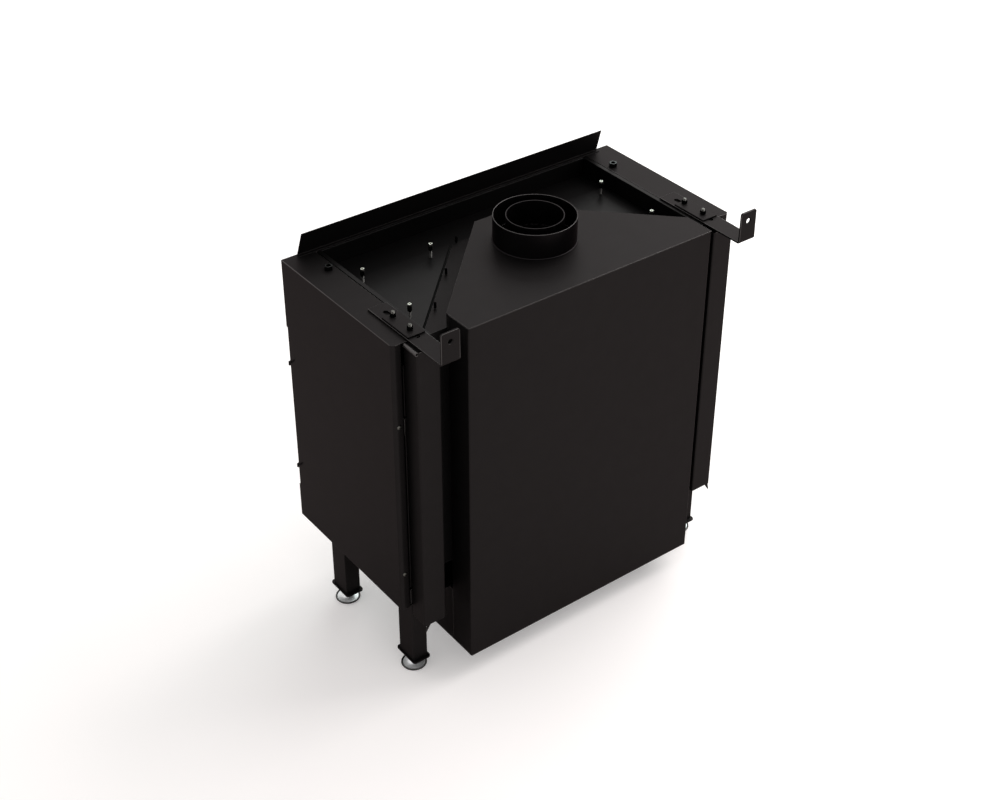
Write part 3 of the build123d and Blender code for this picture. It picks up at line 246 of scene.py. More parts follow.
def spun(shell, profile, steps):
    """Turns a profile of (radius, height) points in mm round the Z axis, closed at the poles."""
    before = set(shell.verts)
    points = [shell.verts.new((r * MM, 0, z * MM)) for r, z in profile]
    edges = [shell.edges.new(pair) for pair in zip(points, points[1:])]
    bmesh.ops.spin(shell, geom=points + edges, cent=(0, 0, 0), axis=(0, 0, 1), angle=2 * math.pi,
                   steps=steps, use_merge=True)
    bmesh.ops.remove_doubles(shell, verts=[v for v in shell.verts if v not in before], dist=seam)


def station(x, y, z, turn=0):
    """A place in mm, with a turn in degrees round the X axis."""
    return Matrix.Translation(Vector((x, y, z)) * MM) @ Matrix.Rotation(math.radians(turn), 4, "X")


def set_out(name, kinds, material):
    """One piece made of small shapes, each made once and set at all its stations."""
    whole = bmesh.new()
    for make, stations in kinds:
        single = bmesh.new()
        make(single)
        bmesh.ops.recalc_face_normals(single, faces=single.faces)
        for place in stations:
            mesh = bpy.data.meshes.new("one_of_several")
            single.to_mesh(mesh)
            mesh.transform(place)
            whole.from_mesh(mesh)
            bpy.data.meshes.remove(mesh)
        single.free()
    return object_of(name, whole, material)


def solid_boxes(node):
    """The lowest and the highest corner of each separate solid of a node, in mm."""
    shell = welded_copy(node)
    found = []
    waiting = set(shell.verts)
    while waiting:
        group = {waiting.pop()}
        newest = set(group)
        while newest:
            newest = {v for point in newest for link in point.link_edges for v in link.verts} - group
            group |= newest
        waiting -= group
        low = Vector([min(v.co[i] for v in group) for i in range(3)]) / MM
        high = Vector([max(v.co[i] for v in group) for i in range(3)]) / MM
        found.append((low, high))
    shell.free()
    return sorted(found, key=lambda box: tuple(round(c) for c in box[0]))


def pan_head(shell):
    """A domed head 8 mm across and 2.4 mm high, with a recess for the driver."""
    spun(shell, [(0, 0), (4, 0), (3.9, 1.1), (3.2, 2), (1.9, 2.4), (1.7, 1), (0, 0.8)], steps=24)


screw_places = []
for low, high in solid_boxes("panel_screws"):
    middle = (low + high) / 2
    at_rear = middle.y > 0
    seat = low.y if at_rear else high.y
    screw_places.append(station(middle.x, seat, middle.z, turn=-90 if at_rear else 90))
stands_for(set_out("panel_screw_heads", [(pan_head, screw_places)], dull_zinc), "panel_screws")

# Deflector: a strip of sheet along the front of the top, with a folded foot, leaning back over the tray
# to turn rising air to the room. Powder coated as the casing.

dressed("deflector_plate", powder_coat, fold_mm=0.8)

# Tray rim round the top of the chamber, turned out at the sides to lie beside the casing's top strips, and
# painted as the chamber. Its lips end a little short, so that the dark slit beside each strip shows.

lip_end = 308.2 * MM
shell = flat_faced_copy("roof_rim")
reach = max(abs(v.co.x) for v in shell.verts)
for point in [v for v in shell.verts if abs(v.co.x) > reach - 0.5 * MM]:
    point.co.x = math.copysign(lip_end, point.co.x)
dressed("roof_rim", heat_paint, fold_mm=0.6, shell=shell)

# Air duct and plenum: flat boxes folded from sheet that bring combustion air down the back and up under
# the burner. Powder coated as the casing, with a painted highlight on the folds.

for node in ("air_duct", "air_plenum"):
    dressed(node, powder_coat, fold_mm=1.2, highlight_finish=painted_highlight_coat)

# Hood over the flue: a lid on mitred walls with a foot flange, seam-welded at the corners. Powder coated
# as the casing, with a painted highlight that shows its folds and mitres as fine grey lines.

for node in ("hood_lid", "hood_walls"):
    dressed(node, powder_coat, fold_mm=1.0, highlight_finish=painted_highlight_coat)

# Flue collars: two rings of rolled steel tube, welded in place and painted inside and out. The paint shines
# a little more than on the casing, and the rims have a painted highlight.

collar_paint = black_coat("collar_black_paint", ("232122", "272425"), roughness=(0.3, 0.4))
for node in ("flue_collar_outer", "flue_collar_inner"):
    dressed(node, collar_paint, cut_mm=0.4, highlight_finish=painted_highlight_coat)

bead_radius = 1.2
bead_ring_radius = 75.4
bead_lift = 0.6


def weld_bead(shell):
    """A thin bead of weld round the foot of a tube 150 mm across."""
    section = (Matrix.Translation((bead_ring_radius * MM, 0, bead_lift * MM))
               @ Matrix.Rotation(math.radians(90), 4, "X"))
    ring = bmesh.ops.create_circle(shell, segments=10, radius=bead_radius * MM, matrix=section)["verts"]
    bmesh.ops.spin(shell, geom=ring + list(shell.edges), cent=(0, 0, 0), axis=(0, 0, 1),
                   angle=2 * math.pi, steps=96, use_merge=True)
    bmesh.ops.remove_doubles(shell, verts=shell.verts, dist=seam)


def box_in_mm(node):
    return [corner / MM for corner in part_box(node)]


def goes_with(piece, node):
    """The piece is an addition of the scene's: it moves with the node's body."""
    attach(piece, frame["nodes"][node]["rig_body"])


low, high = box_in_mm("flue_collar_outer")
bead_places = [station(0, (low.y + high.y) / 2, low.z)]
goes_with(set_out("flue_collar_weld_bead", [(weld_bead, bead_places)], collar_paint), "flue_collar_outer")

# Hood studs: six threaded studs welded to the flange, for the clips of the flue's seal. Painted with the
# hood, but coloured pure black and made to mirror next to nothing, which paints the shade they stand in.

def thread(shell, radius, foot, top, pitch):
    """A screw thread up the Z axis from foot to top, as one ridge turned and raised, with closed ends."""
    steps_a_turn = 14
    thread_depth = 0.61 * pitch
    root = radius - thread_depth
    turns = int((top - foot) / pitch) - 1
    start = top - (turns + 1) * pitch
    before = set(shell.verts)
    points = [shell.verts.new((r * MM, 0, z * MM))
              for r, z in ((root, start), (radius, start + pitch / 2), (root, start + pitch))]
    edges = [shell.edges.new(pair) for pair in zip(points, points[1:])]
    bmesh.ops.spin(shell, geom=points + edges, cent=(0, 0, 0), axis=(0, 0, 1),
                   dvec=(0, 0, pitch * MM / steps_a_turn), angle=2 * math.pi * turns,
                   steps=steps_a_turn * turns, use_merge=False)
    bmesh.ops.remove_doubles(shell, verts=[v for v in shell.verts if v not in before], dist=seam)
    bmesh.ops.holes_fill(shell, edges=[e for e in shell.edges if e.is_boundary], sides=0)


# Near-black paint that mirrors next to nothing: painted shade on the studs, the clamp nuts and the hatch
# edges.
shade_black_paint = finish("black_paint_as_painted_shade", ("060606", "090909"), roughness=(0.55, 0.65), grain_mm=0.8,
                     bump_mm=0.02, settings={"Metallic": 1.0, "Specular Tint": linear("2c2b2b")})


def welded_stud(shell):
    thread(shell, radius=2.5, foot=0, top=12.5, pitch=0.9)


def foot_of(low, high):
    """The place in the middle of a box's underside."""
    return station((low.x + high.x) / 2, (low.y + high.y) / 2, low.z)


stud_places = [foot_of(*box) for box in solid_boxes("hood_studs")]
stands_for(set_out("hood_threaded_studs", [(welded_stud, stud_places)], shade_black_paint), "hood_studs")

# Relief hatches: triangular plates that rest on a woven seal and lift if pressure builds in the chamber,
# painted on top, with near-black painted shade on their cut edges. Their long side is set back, so that
# the slit beside the hood's flange shows, and a near-black strip of the seal in it paints the slit's shade.

set_back = 3.2 * MM
for node in ("relief_hatch_left", "relief_hatch_right"):
    shell = flat_faced_copy(node)
    long_side = max(v.co.y - abs(v.co.x) for v in shell.verts)
    for point in [v for v in shell.verts if v.co.y - abs(v.co.x) > long_side - MM]:
        if point.co.y < 0:
            point.co.x += math.copysign(set_back, point.co.x)
        else:
            point.co.y -= set_back
    hatch = dressed(node, heat_paint, cut_mm=0.2, shell=shell)
    # The upright cut edges take the near-black paint, as painted shade in the slit.
    hatch.data.materials.append(shade_black_paint)
    for face in hatch.data.polygons:
        stands_upright = abs(face.normal.z) < 0.5
        if stands_upright:
            face.material_index = 1

# The seal's near-black is partly the graphited fibre's own colour and partly darkened as painted shade.
seal_fibre_and_shade = finish("graphited_fibre_and_painted_shade", ("0c0c0b", "131312"), roughness=(0.85, 0.95), grain_mm=1.2,
                    bump_mm=0.4, settings={"Specular IOR Level": 0.05}, stretch=(1, 2, 1))
# A near-black strip of seal along each slit paints the slit's shade.
shade_strip_length = 303
shade_strip_width = 3.1
shade_strip_height = 1.8
shade_strip_x = 178.8
shade_strip_y = -23.2
shade_strip_z = 709.9
shell = flat_faced_copy("hatch_gaskets")
for side in (-1, 1):
    shade_strip_place = (station(side * shade_strip_x, shade_strip_y, shade_strip_z) @ Matrix.Rotation(math.radians(side * 45), 4, "Z")
                 @ Matrix.Diagonal((shade_strip_length * MM, shade_strip_width * MM, shade_strip_height * MM, 1)))
    bmesh.ops.create_cube(shell, size=1, matrix=shade_strip_place)
dressed("hatch_gaskets", seal_fibre_and_shade, cut_mm=0.4, shell=shell)

# Hatch guides: three cap screws on each side, which the hatch slides up, and the turned sleeve under each
# head that stops it. The heads are bright zinc, and the shanks are a dark zinc, painted shade of the same
# plating. The sleeves are oiled black.

# Dark zinc: on the guide shanks it is painted shade of the heads' bright plating.
dark_zinc = finish("dark_zinc_plate", ("3b3a39", "4b4947"), roughness=(0.28, 0.4), grain_mm=1.5,
                    bump_mm=0.01, settings={"Metallic": 1.0})
zinc = finish("bright_zinc_plate", ("a9a79d", "c9c7be"), roughness=(0.22, 0.34), grain_mm=1.5,
              bump_mm=0.005, settings={"Metallic": 1.0})
dark_oxide = finish("black_oxide_steel", ("161515", "232221"), roughness=(0.28, 0.42), grain_mm=1.2,
                    bump_mm=0.01, settings={"Metallic": 1.0})


def guide_shank(shell):
    thread(shell, radius=2.4, foot=0, top=28, pitch=0.8)


def guide_head(shell):
    """Domed cap on top of the shank, with a recess for the key."""
    spun(shell, [(0, 27.5), (3.3, 27.5), (3.7, 28), (3.7, 30.8), (3.2, 31.5), (2.1, 31.5), (1.9, 29.5),
                 (0, 29.2)], steps=24)


def stop_sleeve(shell):
    """Turned tube with chamfered ends."""
    spun(shell, [(2.7, 0), (3.9, 0), (4.2, 0.4), (4.2, 9.1), (3.9, 9.5), (2.7, 9.5), (2.7, 0)], steps=24)


guide_places = [foot_of(*box) for box in solid_boxes("hatch_guide_screws")]
for kind, make, plating in (("shanks", guide_shank, dark_zinc), ("heads", guide_head, zinc)):
    guides = set_out(f"hatch_guide_screw_{kind}", [(make, guide_places)], plating)
    stands_for(guides, "hatch_guide_screws")
sleeve_places = [foot_of(*box) for box in solid_boxes("hatch_stop_sleeves")]
stands_for(set_out("hatch_turned_sleeves", [(stop_sleeve, sleeve_places)], dark_oxide), "hatch_stop_sleeves")

# Rear channels and leg guides: folded channels up the back of the casing, with a cut tongue at the foot and
# a curled hem at the top, and welded boxes that the leg tubes slide in. Powder coated, with a painted
# highlight on the folds and all over the hems.

dressed("leg_guides", powder_coat, fold_mm=0.8, highlight_finish=painted_highlight_coat)
tongue_length = 14 * MM
tongue_outwards = 3 * MM
shell = flat_faced_copy("rear_channels")
tongue_tip = min(v.co.z for v in shell.verts)
for point in shell.verts:
    if point.co.z < tongue_tip + tongue_length:
        point.co.x += math.copysign(tongue_outwards, point.co.x)
dressed("rear_channels", powder_coat, fold_mm=0.8, highlight_finish=painted_highlight_coat, shell=shell)

hem_radius = 3.6
hem_length = 36
hem_wall = 1.2
hem_x = 350
hem_front = 128
hem_below_top = 2.2


def channel_hem(shell):
    """The top edge of a channel's outer wall, rolled into a curl, backwards along the Y axis."""
    bmesh.ops.create_circle(shell, segments=20, radius=hem_radius * MM,
                            matrix=Matrix.Rotation(math.radians(90), 4, "X"))
    run = bmesh.ops.extrude_edge_only(shell, edges=list(shell.edges))["geom"]
    far_end = [part for part in run if isinstance(part, bmesh.types.BMVert)]
    bmesh.ops.translate(shell, verts=far_end, vec=(0, hem_length * MM, 0))
    bmesh.ops.recalc_face_normals(shell, faces=shell.faces)
    bmesh.ops.solidify(shell, geom=list(shell.faces), thickness=hem_wall * MM)


low, high = box_in_mm("rear_channels")
hem_places = [station(side * hem_x, hem_front, high.z - hem_below_top) for side in (-1, 1)]
# The hems are all in the lighter coat, a painted highlight on the curl.
goes_with(set_out("rear_channel_rolled_hems", [(channel_hem, hem_places)], painted_highlight_coat), "rear_channels")

# Legs: rectangular tubes with a foot plate welded on, pulled down for height and locked by a bolt. Powder
# coated as the casing, an even matt black.

plate_wide = 38.5
plate_deep = 60
plate_thick = 3.6
plate_middle = 1.75
plate_corner = 6


def foot_plate(shell):
    """A plate a little larger than the tube, with round corners."""
    bmesh.ops.create_cube(shell, size=1, matrix=station(0, 0, plate_middle)
                          @ Matrix.Diagonal((plate_wide * MM, plate_deep * MM, plate_thick * MM, 1)))
    corners = [e for e in shell.edges if abs(e.verts[0].co.z - e.verts[1].co.z) > MM]
    rounded(shell, corners, width_mm=plate_corner, segments=6)
    rounded(shell, sharp_edges(shell, 60), width_mm=0.5)


for where in ("front", "rear"):
    for side in ("left", "right"):
        node = f"leg_{where}_{side}"
        dressed(node, powder_coat, cut_mm=0.5)
        place = foot_of(*box_in_mm(node))
        goes_with(set_out(f"{node}_foot_plate", [(foot_plate, [place])], powder_coat), node)

# Levelling feet: a pressed disc with a raised rim on a threaded stem, screwed up into the leg. The satin
# plating is nearly white, and the rim has blackened.

chrome = finish("satin_chrome_plate", ("ececec", "f4f4f4"), roughness=(0.34, 0.42), grain_mm=2,
                bump_mm=0.004, settings={"Metallic": 0.6})


def level_edges(edges):
    return [e for e in edges if abs(e.verts[0].co.z - e.verts[1].co.z) < seam]


def hexagon(shell, flats, foot, height, chamfer_share=0.06):
    """A hexagon bar with its corners turned off at both ends, two of its corners along the X axis."""
    radius = flats / math.sqrt(3) * MM
    place = Matrix.Translation((0, 0, (foot + height / 2) * MM)) @ Matrix.Rotation(math.radians(30), 4, "Z")
    made = bmesh.ops.create_cone(shell, cap_ends=True, segments=6, radius1=radius, radius2=radius,
                                 depth=height * MM, matrix=place)["verts"]
    rims = level_edges({e for v in made for e in v.link_edges})
    rounded(shell, rims, width_mm=chamfer_share * flats, clamp=True)


disc_profile = [(0, 0), (21.5, 0), (23.6, 0.5), (24.5, 1.8), (24.3, 3.2), (23.2, 4), (22, 3.6), (20.8, 2.6),
                (17, 2.8), (12.5, 4), (9.5, 6), (8.2, 8.4), (7.2, 8.8), (0, 8.8)]
rim_inner_radius = 21.2


def levelling_foot(shell):
    """Disc with a rolled rim, a dished top, a hexagon collar and a thread up to the top of the stem."""
    spun(shell, disc_profile, steps=64)
    for face in shell.faces:
        middle = face.calc_center_median()
        if math.hypot(middle.x, middle.y) > rim_inner_radius * MM:
            face.material_index = 1
    hexagon(shell, flats=12, foot=8.2, height=2.3)
    thread(shell, radius=5.0, foot=9, top=62, pitch=1.5)


for where in ("front", "rear"):
    for side in ("left", "right"):
        node = f"levelling_foot_{where}_{side}"
        place = foot_of(*box_in_mm(node))
        foot = stands_for(set_out(f"{node}_plated", [(levelling_foot, [place])], chrome), node)
        foot.data.materials.append(dark_zinc)

# Wall brackets: flat bars with one end bent up and drilled for a wall screw, slotted to slide under
# a clamp plate on each top strip. 3.5 mm steel, powder coated. The plates stand just clear of the bars.

# Their rounded folds and edges take the lighter coat, a painted highlight.
for node in ("wall_bracket_left", "wall_bracket_right"):
    dressed(node, powder_coat, fold_mm=0.9, cut_mm=0.5, highlight_finish=painted_highlight_coat)
room_to_slide = 0.2 * MM
shell = flat_faced_copy("clamp_plates")
underside = min(v.co.z for v in shell.verts)
for point in [v for v in shell.verts if v.co.z < underside + 0.1 * MM]:
    point.co.z += room_to_slide
dressed("clamp_plates", powder_coat, fold_mm=0.5, cut_mm=0.4, shell=shell)

# Hexagon bolts and nuts: bolts up through the strips and clamp plates, lock bolts in the leg guides, and a
# larger open nut on each strip over the front leg. The bolts are dull zinc, their nuts pure black painted
# shade, and the open nuts oiled black with a faint shine.

head_flats = 13
head_height = 5.3


def clamp_bolt(shell):
    """Hexagon head under the strip and a thread up through the clamp plate."""
    hexagon(shell, flats=head_flats, foot=0, height=head_height)
    thread(shell, radius=3.0, foot=5, top=23.8, pitch=1.0)


def lock_bolt(shell):
    """Hexagon head against the leg guide, with the start of its shank."""
    hexagon(shell, flats=head_flats, foot=0, height=head_height)
    spun(shell, [(0, 5), (4, 5), (4, 7.8), (0, 7.8)], steps=16)


chamber_roof = 700
clamp_places = []
lock_places = []
for low, high in solid_boxes("hex_bolts"):
    middle = (low + high) / 2
    if high.z > chamber_roof:
        clamp_places.append(foot_of(low, high))
    else:
        at_rear = middle.y > 0
        seat = high.y if at_rear else low.y
        lock_places.append(station(middle.x, seat, middle.z, turn=90 if at_rear else -90))
bolt_kinds = [(clamp_bolt, clamp_places), (lock_bolt, lock_places)]
stands_for(set_out("hexagon_bolts", bolt_kinds, dull_zinc), "hex_bolts")


def clamp_nut(shell):
    hexagon(shell, flats=10.0, foot=0, height=5.5, chamfer_share=0.1)


strip_nut_flats = 14
strip_nut_bore_radius = 4.2
strip_nut_height = 8


def strip_nut(shell):
    """A nut that is seen through: a hexagon round a bore, with broken edges at its mouth."""
    bmesh.ops.create_circle(shell, segments=6, radius=strip_nut_flats / math.sqrt(3) * MM,
                            matrix=Matrix.Rotation(math.radians(30), 4, "Z"))
    bmesh.ops.subdivide_edges(shell, edges=list(shell.edges), cuts=3)
    bmesh.ops.create_circle(shell, segments=24, radius=strip_nut_bore_radius * MM)
    bmesh.ops.bridge_loops(shell, edges=list(shell.edges))
    raised = bmesh.ops.extrude_face_region(shell, geom=list(shell.faces), use_keep_orig=True)["geom"]
    top = [part for part in raised if isinstance(part, bmesh.types.BMVert)]
    bmesh.ops.translate(shell, verts=top, vec=(0, 0, strip_nut_height * MM))
    bmesh.ops.recalc_face_normals(shell, faces=shell.faces)
    rounded(shell, level_edges(sharp_edges(shell, 60)), width_mm=0.7, clamp=True)


widest_clamp_nut = 15
small_nuts = []
large_nuts = []
for low, high in solid_boxes("top_nuts"):
    group = large_nuts if high.y - low.y > widest_clamp_nut else small_nuts
    group.append(foot_of(low, high))
# The clamp nuts are near-black, as painted shade.
stands_for(set_out("clamp_hexagon_nuts", [(clamp_nut, small_nuts)], shade_black_paint), "top_nuts")
stands_for(set_out("strip_hexagon_nuts", [(strip_nut, large_nuts)], dark_oxide), "top_nuts")

# Glass: a heat-resistant pane against a woven tape, held in a folded steel frame that four levers grip. The
# pane is clear with the faintest brown, and its slight waves bend what it mirrors.

dressed("glass_gasket", seal_fibre_and_shade, cut_mm=0.8)

waves_per_metre = 6.0
pane = bare_material("clear_glass_ceramic")
where = add_node(pane, "ShaderNodeTexCoord")
waves = add_node(pane, "ShaderNodeTexNoise", {"Scale": waves_per_metre, "Detail": 2},
                 {"Vector": (where, "Object")})
relief = add_node(pane, "ShaderNodeBump", {"Distance": 0.05 * MM, "Strength": 0.3}, {"Height": (waves, 0)})
clear = add_node(pane, "ShaderNodeBsdfPrincipled",
                 {"Base Color": linear("d8d2c6"), "Roughness": 0.02, "IOR": 1.54,
                  "Transmission Weight": 1.0, "Specular IOR Level": 0.25},
                 {"Normal": (relief, 0)})
add_node(pane, "ShaderNodeOutputMaterial", None, {"Surface": (clear, 0)})
dressed("glass_pane", pane, fold_mm=0.8, cut_mm=0.8)
dressed("glass_frame", powder_coat, fold_mm=0.6)

# Glass latches: flat steel levers on headed pins, two each side, reached through the slanted windows. The
# levers are powder coated and end in a small thumb lug, and the pins are bright zinc.

for height in ("lower", "upper"):
    for side in ("left", "right"):
        dressed(f"glass_latch_{height}_{side}", powder_coat, fold_mm=0.5, cut_mm=0.3)
dressed("latch_pins", zinc)

lug_across = 4.5
lug_deep = 4.2
lug_high = 9
lug_x = 371.6
lug_behind_nose = 2.8
lug_above_nose = 4.6


def thumb_lug(shell):
    """The end of a latch lever bent out into a small hook for the thumb, its foot a little forward."""
    size = Matrix.Diagonal((lug_across * MM, lug_deep * MM, lug_high * MM, 1))
    made = bmesh.ops.create_cube(shell, size=1, matrix=size)["verts"]
    foot = [v for v in made if v.co.z < 0]
    bmesh.ops.translate(shell, verts=foot, vec=(0, -0.6 * MM, 0))
    rounded(shell, list(shell.edges), width_mm=0.8, clamp=True)


for height in ("lower", "upper"):
    for side, sign in (("left", -1), ("right", 1)):
        node = f"glass_latch_{height}_{side}"
        nose = box_in_mm(node)[0]
        place = station(sign * lug_x, nose.y + lug_behind_nose, nose.z + lug_above_nose)
        goes_with(set_out(f"{node}_thumb_lug", [(thumb_lug, [place])], powder_coat), node)

# Burner: a flat box of stainless steel on two feet, with two rows of flame slots, and the steel grate
# that carries the logs over it. The box is browned by heat, the grate scaled to a dull near-black.

dressed("burner", tinted_steel, fold_mm=1.2)
dark_bar = finish("scaled_black_steel", ("151413", "262220"), roughness=(0.55, 0.75), grain_mm=2,
                  bump_mm=0.15, settings={"Metallic": 0.6})
dressed("log_grate", dark_bar, fold_mm=0.8, cut_mm=0.5)

# Logs: moulded from ceramic fibre with furrows like bark, and painted as charred oak. Brown and matt, with
# broad patches of black where the flames pass.

cracks_per_metre = 90.0
scorches_per_metre = 14.0
charred = bare_material("ceramic_fibre_charred_bark")
where = add_node(charred, "ShaderNodeTexCoord")
cracks = add_node(charred, "ShaderNodeTexNoise", {"Scale": cracks_per_metre, "Detail": 8, "Roughness": 0.7},
                  {"Vector": (where, "Object")})
scorch = add_node(charred, "ShaderNodeTexNoise", {"Scale": scorches_per_metre, "Detail": 4},
                  {"Vector": (where, "Object")})
bark = add_node(charred, "ShaderNodeMix", {"data_type": "RGBA", 6: linear("3a2d22"), 7: linear("8d745a")},
                {0: (cracks, 0)})
black = add_node(charred, "ShaderNodeMapRange", {"From Min": 0.42, "From Max": 0.6}, {"Value": (scorch, 0)})
burnt = add_node(charred, "ShaderNodeMix", {"data_type": "RGBA", 7: linear("161311")},
                 {0: (black, 0), 6: (bark, 2)})
relief = add_node(charred, "ShaderNodeBump", {"Distance": 1.2 * MM, "Strength": 0.8},
                  {"Height": (cracks, 0)})
surface = add_node(charred, "ShaderNodeBsdfPrincipled", {"Roughness": 0.9, "Specular IOR Level": 0.2},
                   {"Base Color": (burnt, 2), "Normal": (relief, 0)})
add_node(charred, "ShaderNodeOutputMaterial", None, {"Surface": (surface, 0)})

longest_edge = 9 * MM
furrow_depth = 2.2
furrows_along = 20
furrows_across = 70
furrow_layers = 4
layer_shrink = 2.1
layer_falloff = 0.9
sunk_by = 0.9
shell = flat_faced_copy("ceramic_logs", flat_within=2)
bmesh.ops.triangulate(shell, faces=shell.faces)
for cutting in range(4):
    long_edges = [e for e in shell.edges if e.calc_length() > longest_edge]
    bmesh.ops.subdivide_edges(shell, edges=long_edges, cuts=1, use_grid_fill=True)
    bmesh.ops.triangulate(shell, faces=[f for f in shell.faces if len(f.verts) > 3])
bmesh.ops.recalc_face_normals(shell, faces=shell.faces)
bmesh.ops.smooth_vert(shell, verts=shell.verts, factor=0.5, use_axis_x=True, use_axis_y=True,
                      use_axis_z=True)
shell.normal_update()
for point in shell.verts:
    furrows = Vector((point.co.x * furrows_along, point.co.y * furrows_across, point.co.z * furrows_across))
    height = noise.fractal(furrows, layer_falloff, layer_shrink, furrow_layers) - sunk_by
    point.co += point.normal * height * furrow_depth * MM
stands_for(object_of("ceramic_fibre_logs", shell, charred), "ceramic_logs")

# Pilot: a pressed bracket beside the burner with the pilot hood, the spark electrode and the flame sensor.
# Stainless steel, browned by the flame as the burner is.

dressed("pilot_assembly", tinted_steel, cut_mm=0.4)

# Gas valve: a die-cast aluminium body on two feet, with its magnet housing and the spindles of two knobs.
# The bare casting is pale grey and a little open-grained.

cast_aluminium = finish("die_cast_aluminium", ("8f9092", "a9aaac"), roughness=(0.4, 0.55), grain_mm=1.2,
                        bump_mm=0.05, settings={"Metallic": 1.0})
dressed("gas_valve", cast_aluminium, fold_mm=1.5, cut_mm=0.6)

# Knobs: moulded black nylon, ribbed round the edge, with a grip bar across the face. Fine-grained, with a
# broad dull shine.

nylon = finish("moulded_black_nylon", ("141414", "1b1b1b"), roughness=(0.42, 0.55), grain_mm=0.6,
               bump_mm=0.03)
knob_radius = 12.6
rib_height = 0.4
grip_wide = 3
grip_long = 22
grip_high = 4.9
grip_middle = 14.5


def angle_round(face):
    middle = face.calc_center_median()
    return math.atan2(middle.y, middle.x)


def ribbed_knob(shell):
    """A round knob with a rib at every other step round its edge, and a raised bar to turn it by."""
    spun(shell, [(3.1, 0), (12.2, 0), (knob_radius, 0.6), (knob_radius, 11.6), (11.4, 13), (3.1, 13),
                 (3.1, 0)], steps=48)
    shell.normal_update()
    edge_faces = [f for f in shell.faces if f.calc_center_median().to_2d().length > (knob_radius - 0.2) * MM
                  and abs(f.normal.z) < 0.1 and f.calc_area() > 10 * MM * MM]
    edge_faces.sort(key=angle_round)
    bmesh.ops.recalc_face_normals(shell, faces=shell.faces)
    bmesh.ops.inset_individual(shell, faces=edge_faces[::2], thickness=0.15 * MM, depth=rib_height * MM)
    grip = (station(0, 0, grip_middle)
            @ Matrix.Diagonal((grip_wide * MM, grip_long * MM, grip_high * MM, 1)))
    corners = bmesh.ops.create_cube(shell, size=1, matrix=grip)["verts"]
    rounded(shell, list({e for v in corners for e in v.link_edges}), width_mm=0.8)


for node in ("gas_control_knob", "flame_knob"):
    low, high = box_in_mm(node)
    place = station((low.x + high.x) / 2, high.y, (low.z + high.z) / 2, turn=90)
    stands_for(set_out(f"{node}_moulded", [(ribbed_knob, [place])], nylon), node)

# Shut-off valve: forged brass ball valve with a red dipped lever, and the pipes of drawn copper. The brass
# is machined bright, the dip has a soft gloss, and the copper's fine marks run from side to side.

brass = finish("machined_brass", ("a8843f", "c29b52"), roughness=(0.25, 0.4), grain_mm=1.2,
               bump_mm=0.01, settings={"Metallic": 1.0})
dressed("shut_off_valve", brass, fold_mm=0.8, cut_mm=0.3)
red_dip = finish("red_dipped_lever", ("8e1410", "a31c15"), roughness=(0.3, 0.42), grain_mm=1.5,
                 bump_mm=0.02, settings={"Coat Weight": 0.3})
dressed("shut_off_handle", red_dip, fold_mm=0.8, cut_mm=0.5)
copper = finish("drawn_copper", ("a8623f", "bd7a55"), roughness=(0.25, 0.42), grain_mm=2, bump_mm=0.01,
                settings={"Metallic": 1.0}, stretch=(0.2, 1, 1))
dressed("gas_pipes", copper, cut_mm=0)

# Receiver box: moulded housing of the remote control's receiver, with soft edges. The same fine-grained
# black nylon as the knobs.

dressed("receiver_box", nylon, fold_mm=1.5, cut_mm=1.0)

# Floor: pale matt paint, far larger than the picture. It glows a little where the camera looks at it, which
# keeps it near white without lighting the black sheet grey.

floor_half = 14.0
floor_glow = 0.24
shell = bmesh.new()
bmesh.ops.create_grid(shell, x_segments=1, y_segments=1, size=floor_half)
floor_paint = bare_material("pale_matt_floor")
rays = add_node(floor_paint, "ShaderNodeLightPath")
lift = add_node(floor_paint, "ShaderNodeMath", {"operation": "MULTIPLY", 1: floor_glow},
                {0: (rays, "Is Camera Ray")})
flat_white = add_node(floor_paint, "ShaderNodeBsdfPrincipled",
                      {"Base Color": linear("f0eae8"), "Roughness": 0.9, "Emission Color": (1, 1, 1, 1)},
                      {"Emission Strength": (lift, 0)})
add_node(floor_paint, "ShaderNodeOutputMaterial", None, {"Surface": (flat_white, 0)})
object_of("floor", shell, floor_paint)

# Surround and lamps: an even white surround, which is full white only where it is seen or mirrored, and two
# large soft lamps at the fire's left, one above it and one ahead.

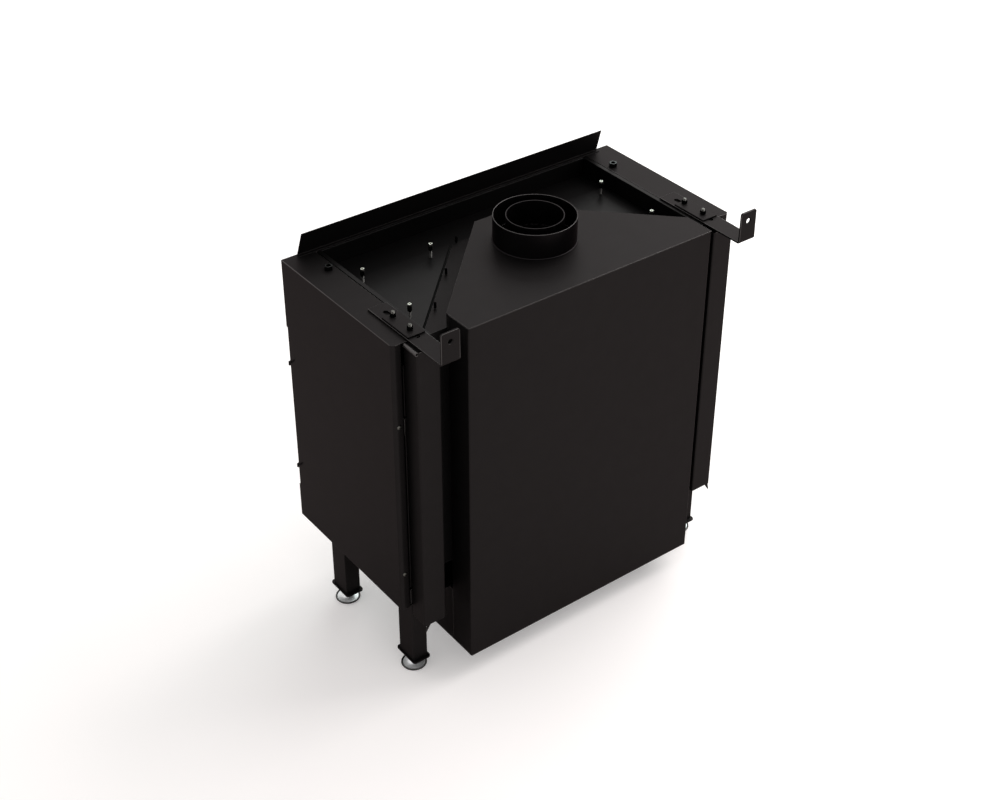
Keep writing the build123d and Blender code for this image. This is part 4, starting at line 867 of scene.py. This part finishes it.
surround = bpy.data.worlds.new("white_surround")
surround.use_nodes = True
surround.node_tree.nodes.clear()
rays = add_node(surround, "ShaderNodeLightPath")
seen = add_node(surround, "ShaderNodeMath", {"operation": "MAXIMUM"},
                {0: (rays, "Is Camera Ray"), 1: (rays, "Is Glossy Ray")})
seen_or_through = add_node(surround, "ShaderNodeMath", {"operation": "MAXIMUM"},
                           {0: (seen, 0), 1: (rays, "Is Transmission Ray")})
bright = add_node(surround, "ShaderNodeMapRange", {"To Min": 0.75, "To Max": 1.0},
                  {"Value": (seen_or_through, 0)})
light = add_node(surround, "ShaderNodeBackground", {"Color": (1, 1, 1, 1)}, {"Strength": (bright, 0)})
add_node(surround, "ShaderNodeOutputWorld", None, {"Surface": (light, 0)})
bpy.context.scene.world = surround

lit_point = Vector((0, 0, 0.6))


def soft_lamp(name, place, wide, deep, power, colour):
    """A rectangular soft lamp, in metres and watts, that faces the fire."""
    lamp = bpy.data.lights.new(name, "AREA")
    lamp.shape = "RECTANGLE"
    lamp.size = wide
    lamp.size_y = deep
    lamp.energy = power
    lamp.color = linear(colour)[:3]
    holder = bpy.data.objects.new(name, lamp)
    holder.location = place
    holder.rotation_euler = (lit_point - Vector(place)).to_track_quat("-Z", "Y").to_euler()
    bpy.context.scene.collection.objects.link(holder)


soft_lamp("lamp_above", (-2.3, 0.2, 2.5), wide=2.6, deep=2.6, power=75, colour="ffffff")
soft_lamp("lamp_ahead", (-3.4, -2.8, 2.7), wide=3.5, deep=2.2, power=74, colour="e2f3f0")

# Camera: it stands behind the fire's right corner, as the photographer did. Its place, angles and lens were
# fitted to the casing's straight edges in the photograph.

azimuth = math.radians(142.789)
elevation = math.radians(33.937)
roll = math.radians(0.171)
camera_place = (1576.3, 2000.4, 2213.5)
backward = Vector((math.sin(azimuth) * math.cos(elevation), -math.cos(azimuth) * math.cos(elevation),
                   math.sin(elevation)))
lens = bpy.data.cameras.new("photograph_camera")
lens.sensor_width = 36
lens.lens = 59.297
lens.shift_y = -0.04
lens.clip_end = 60
camera = bpy.data.objects.new("photograph_camera", lens)
camera.location = Vector(camera_place) * MM
camera.rotation_mode = "QUATERNION"
camera.rotation_quaternion = Quaternion(backward, roll) @ (-backward).to_track_quat("-Z", "Y")
bpy.context.scene.collection.objects.link(camera)
bpy.context.scene.camera = camera

bpy.context.scene.view_settings.view_transform = "Standard"
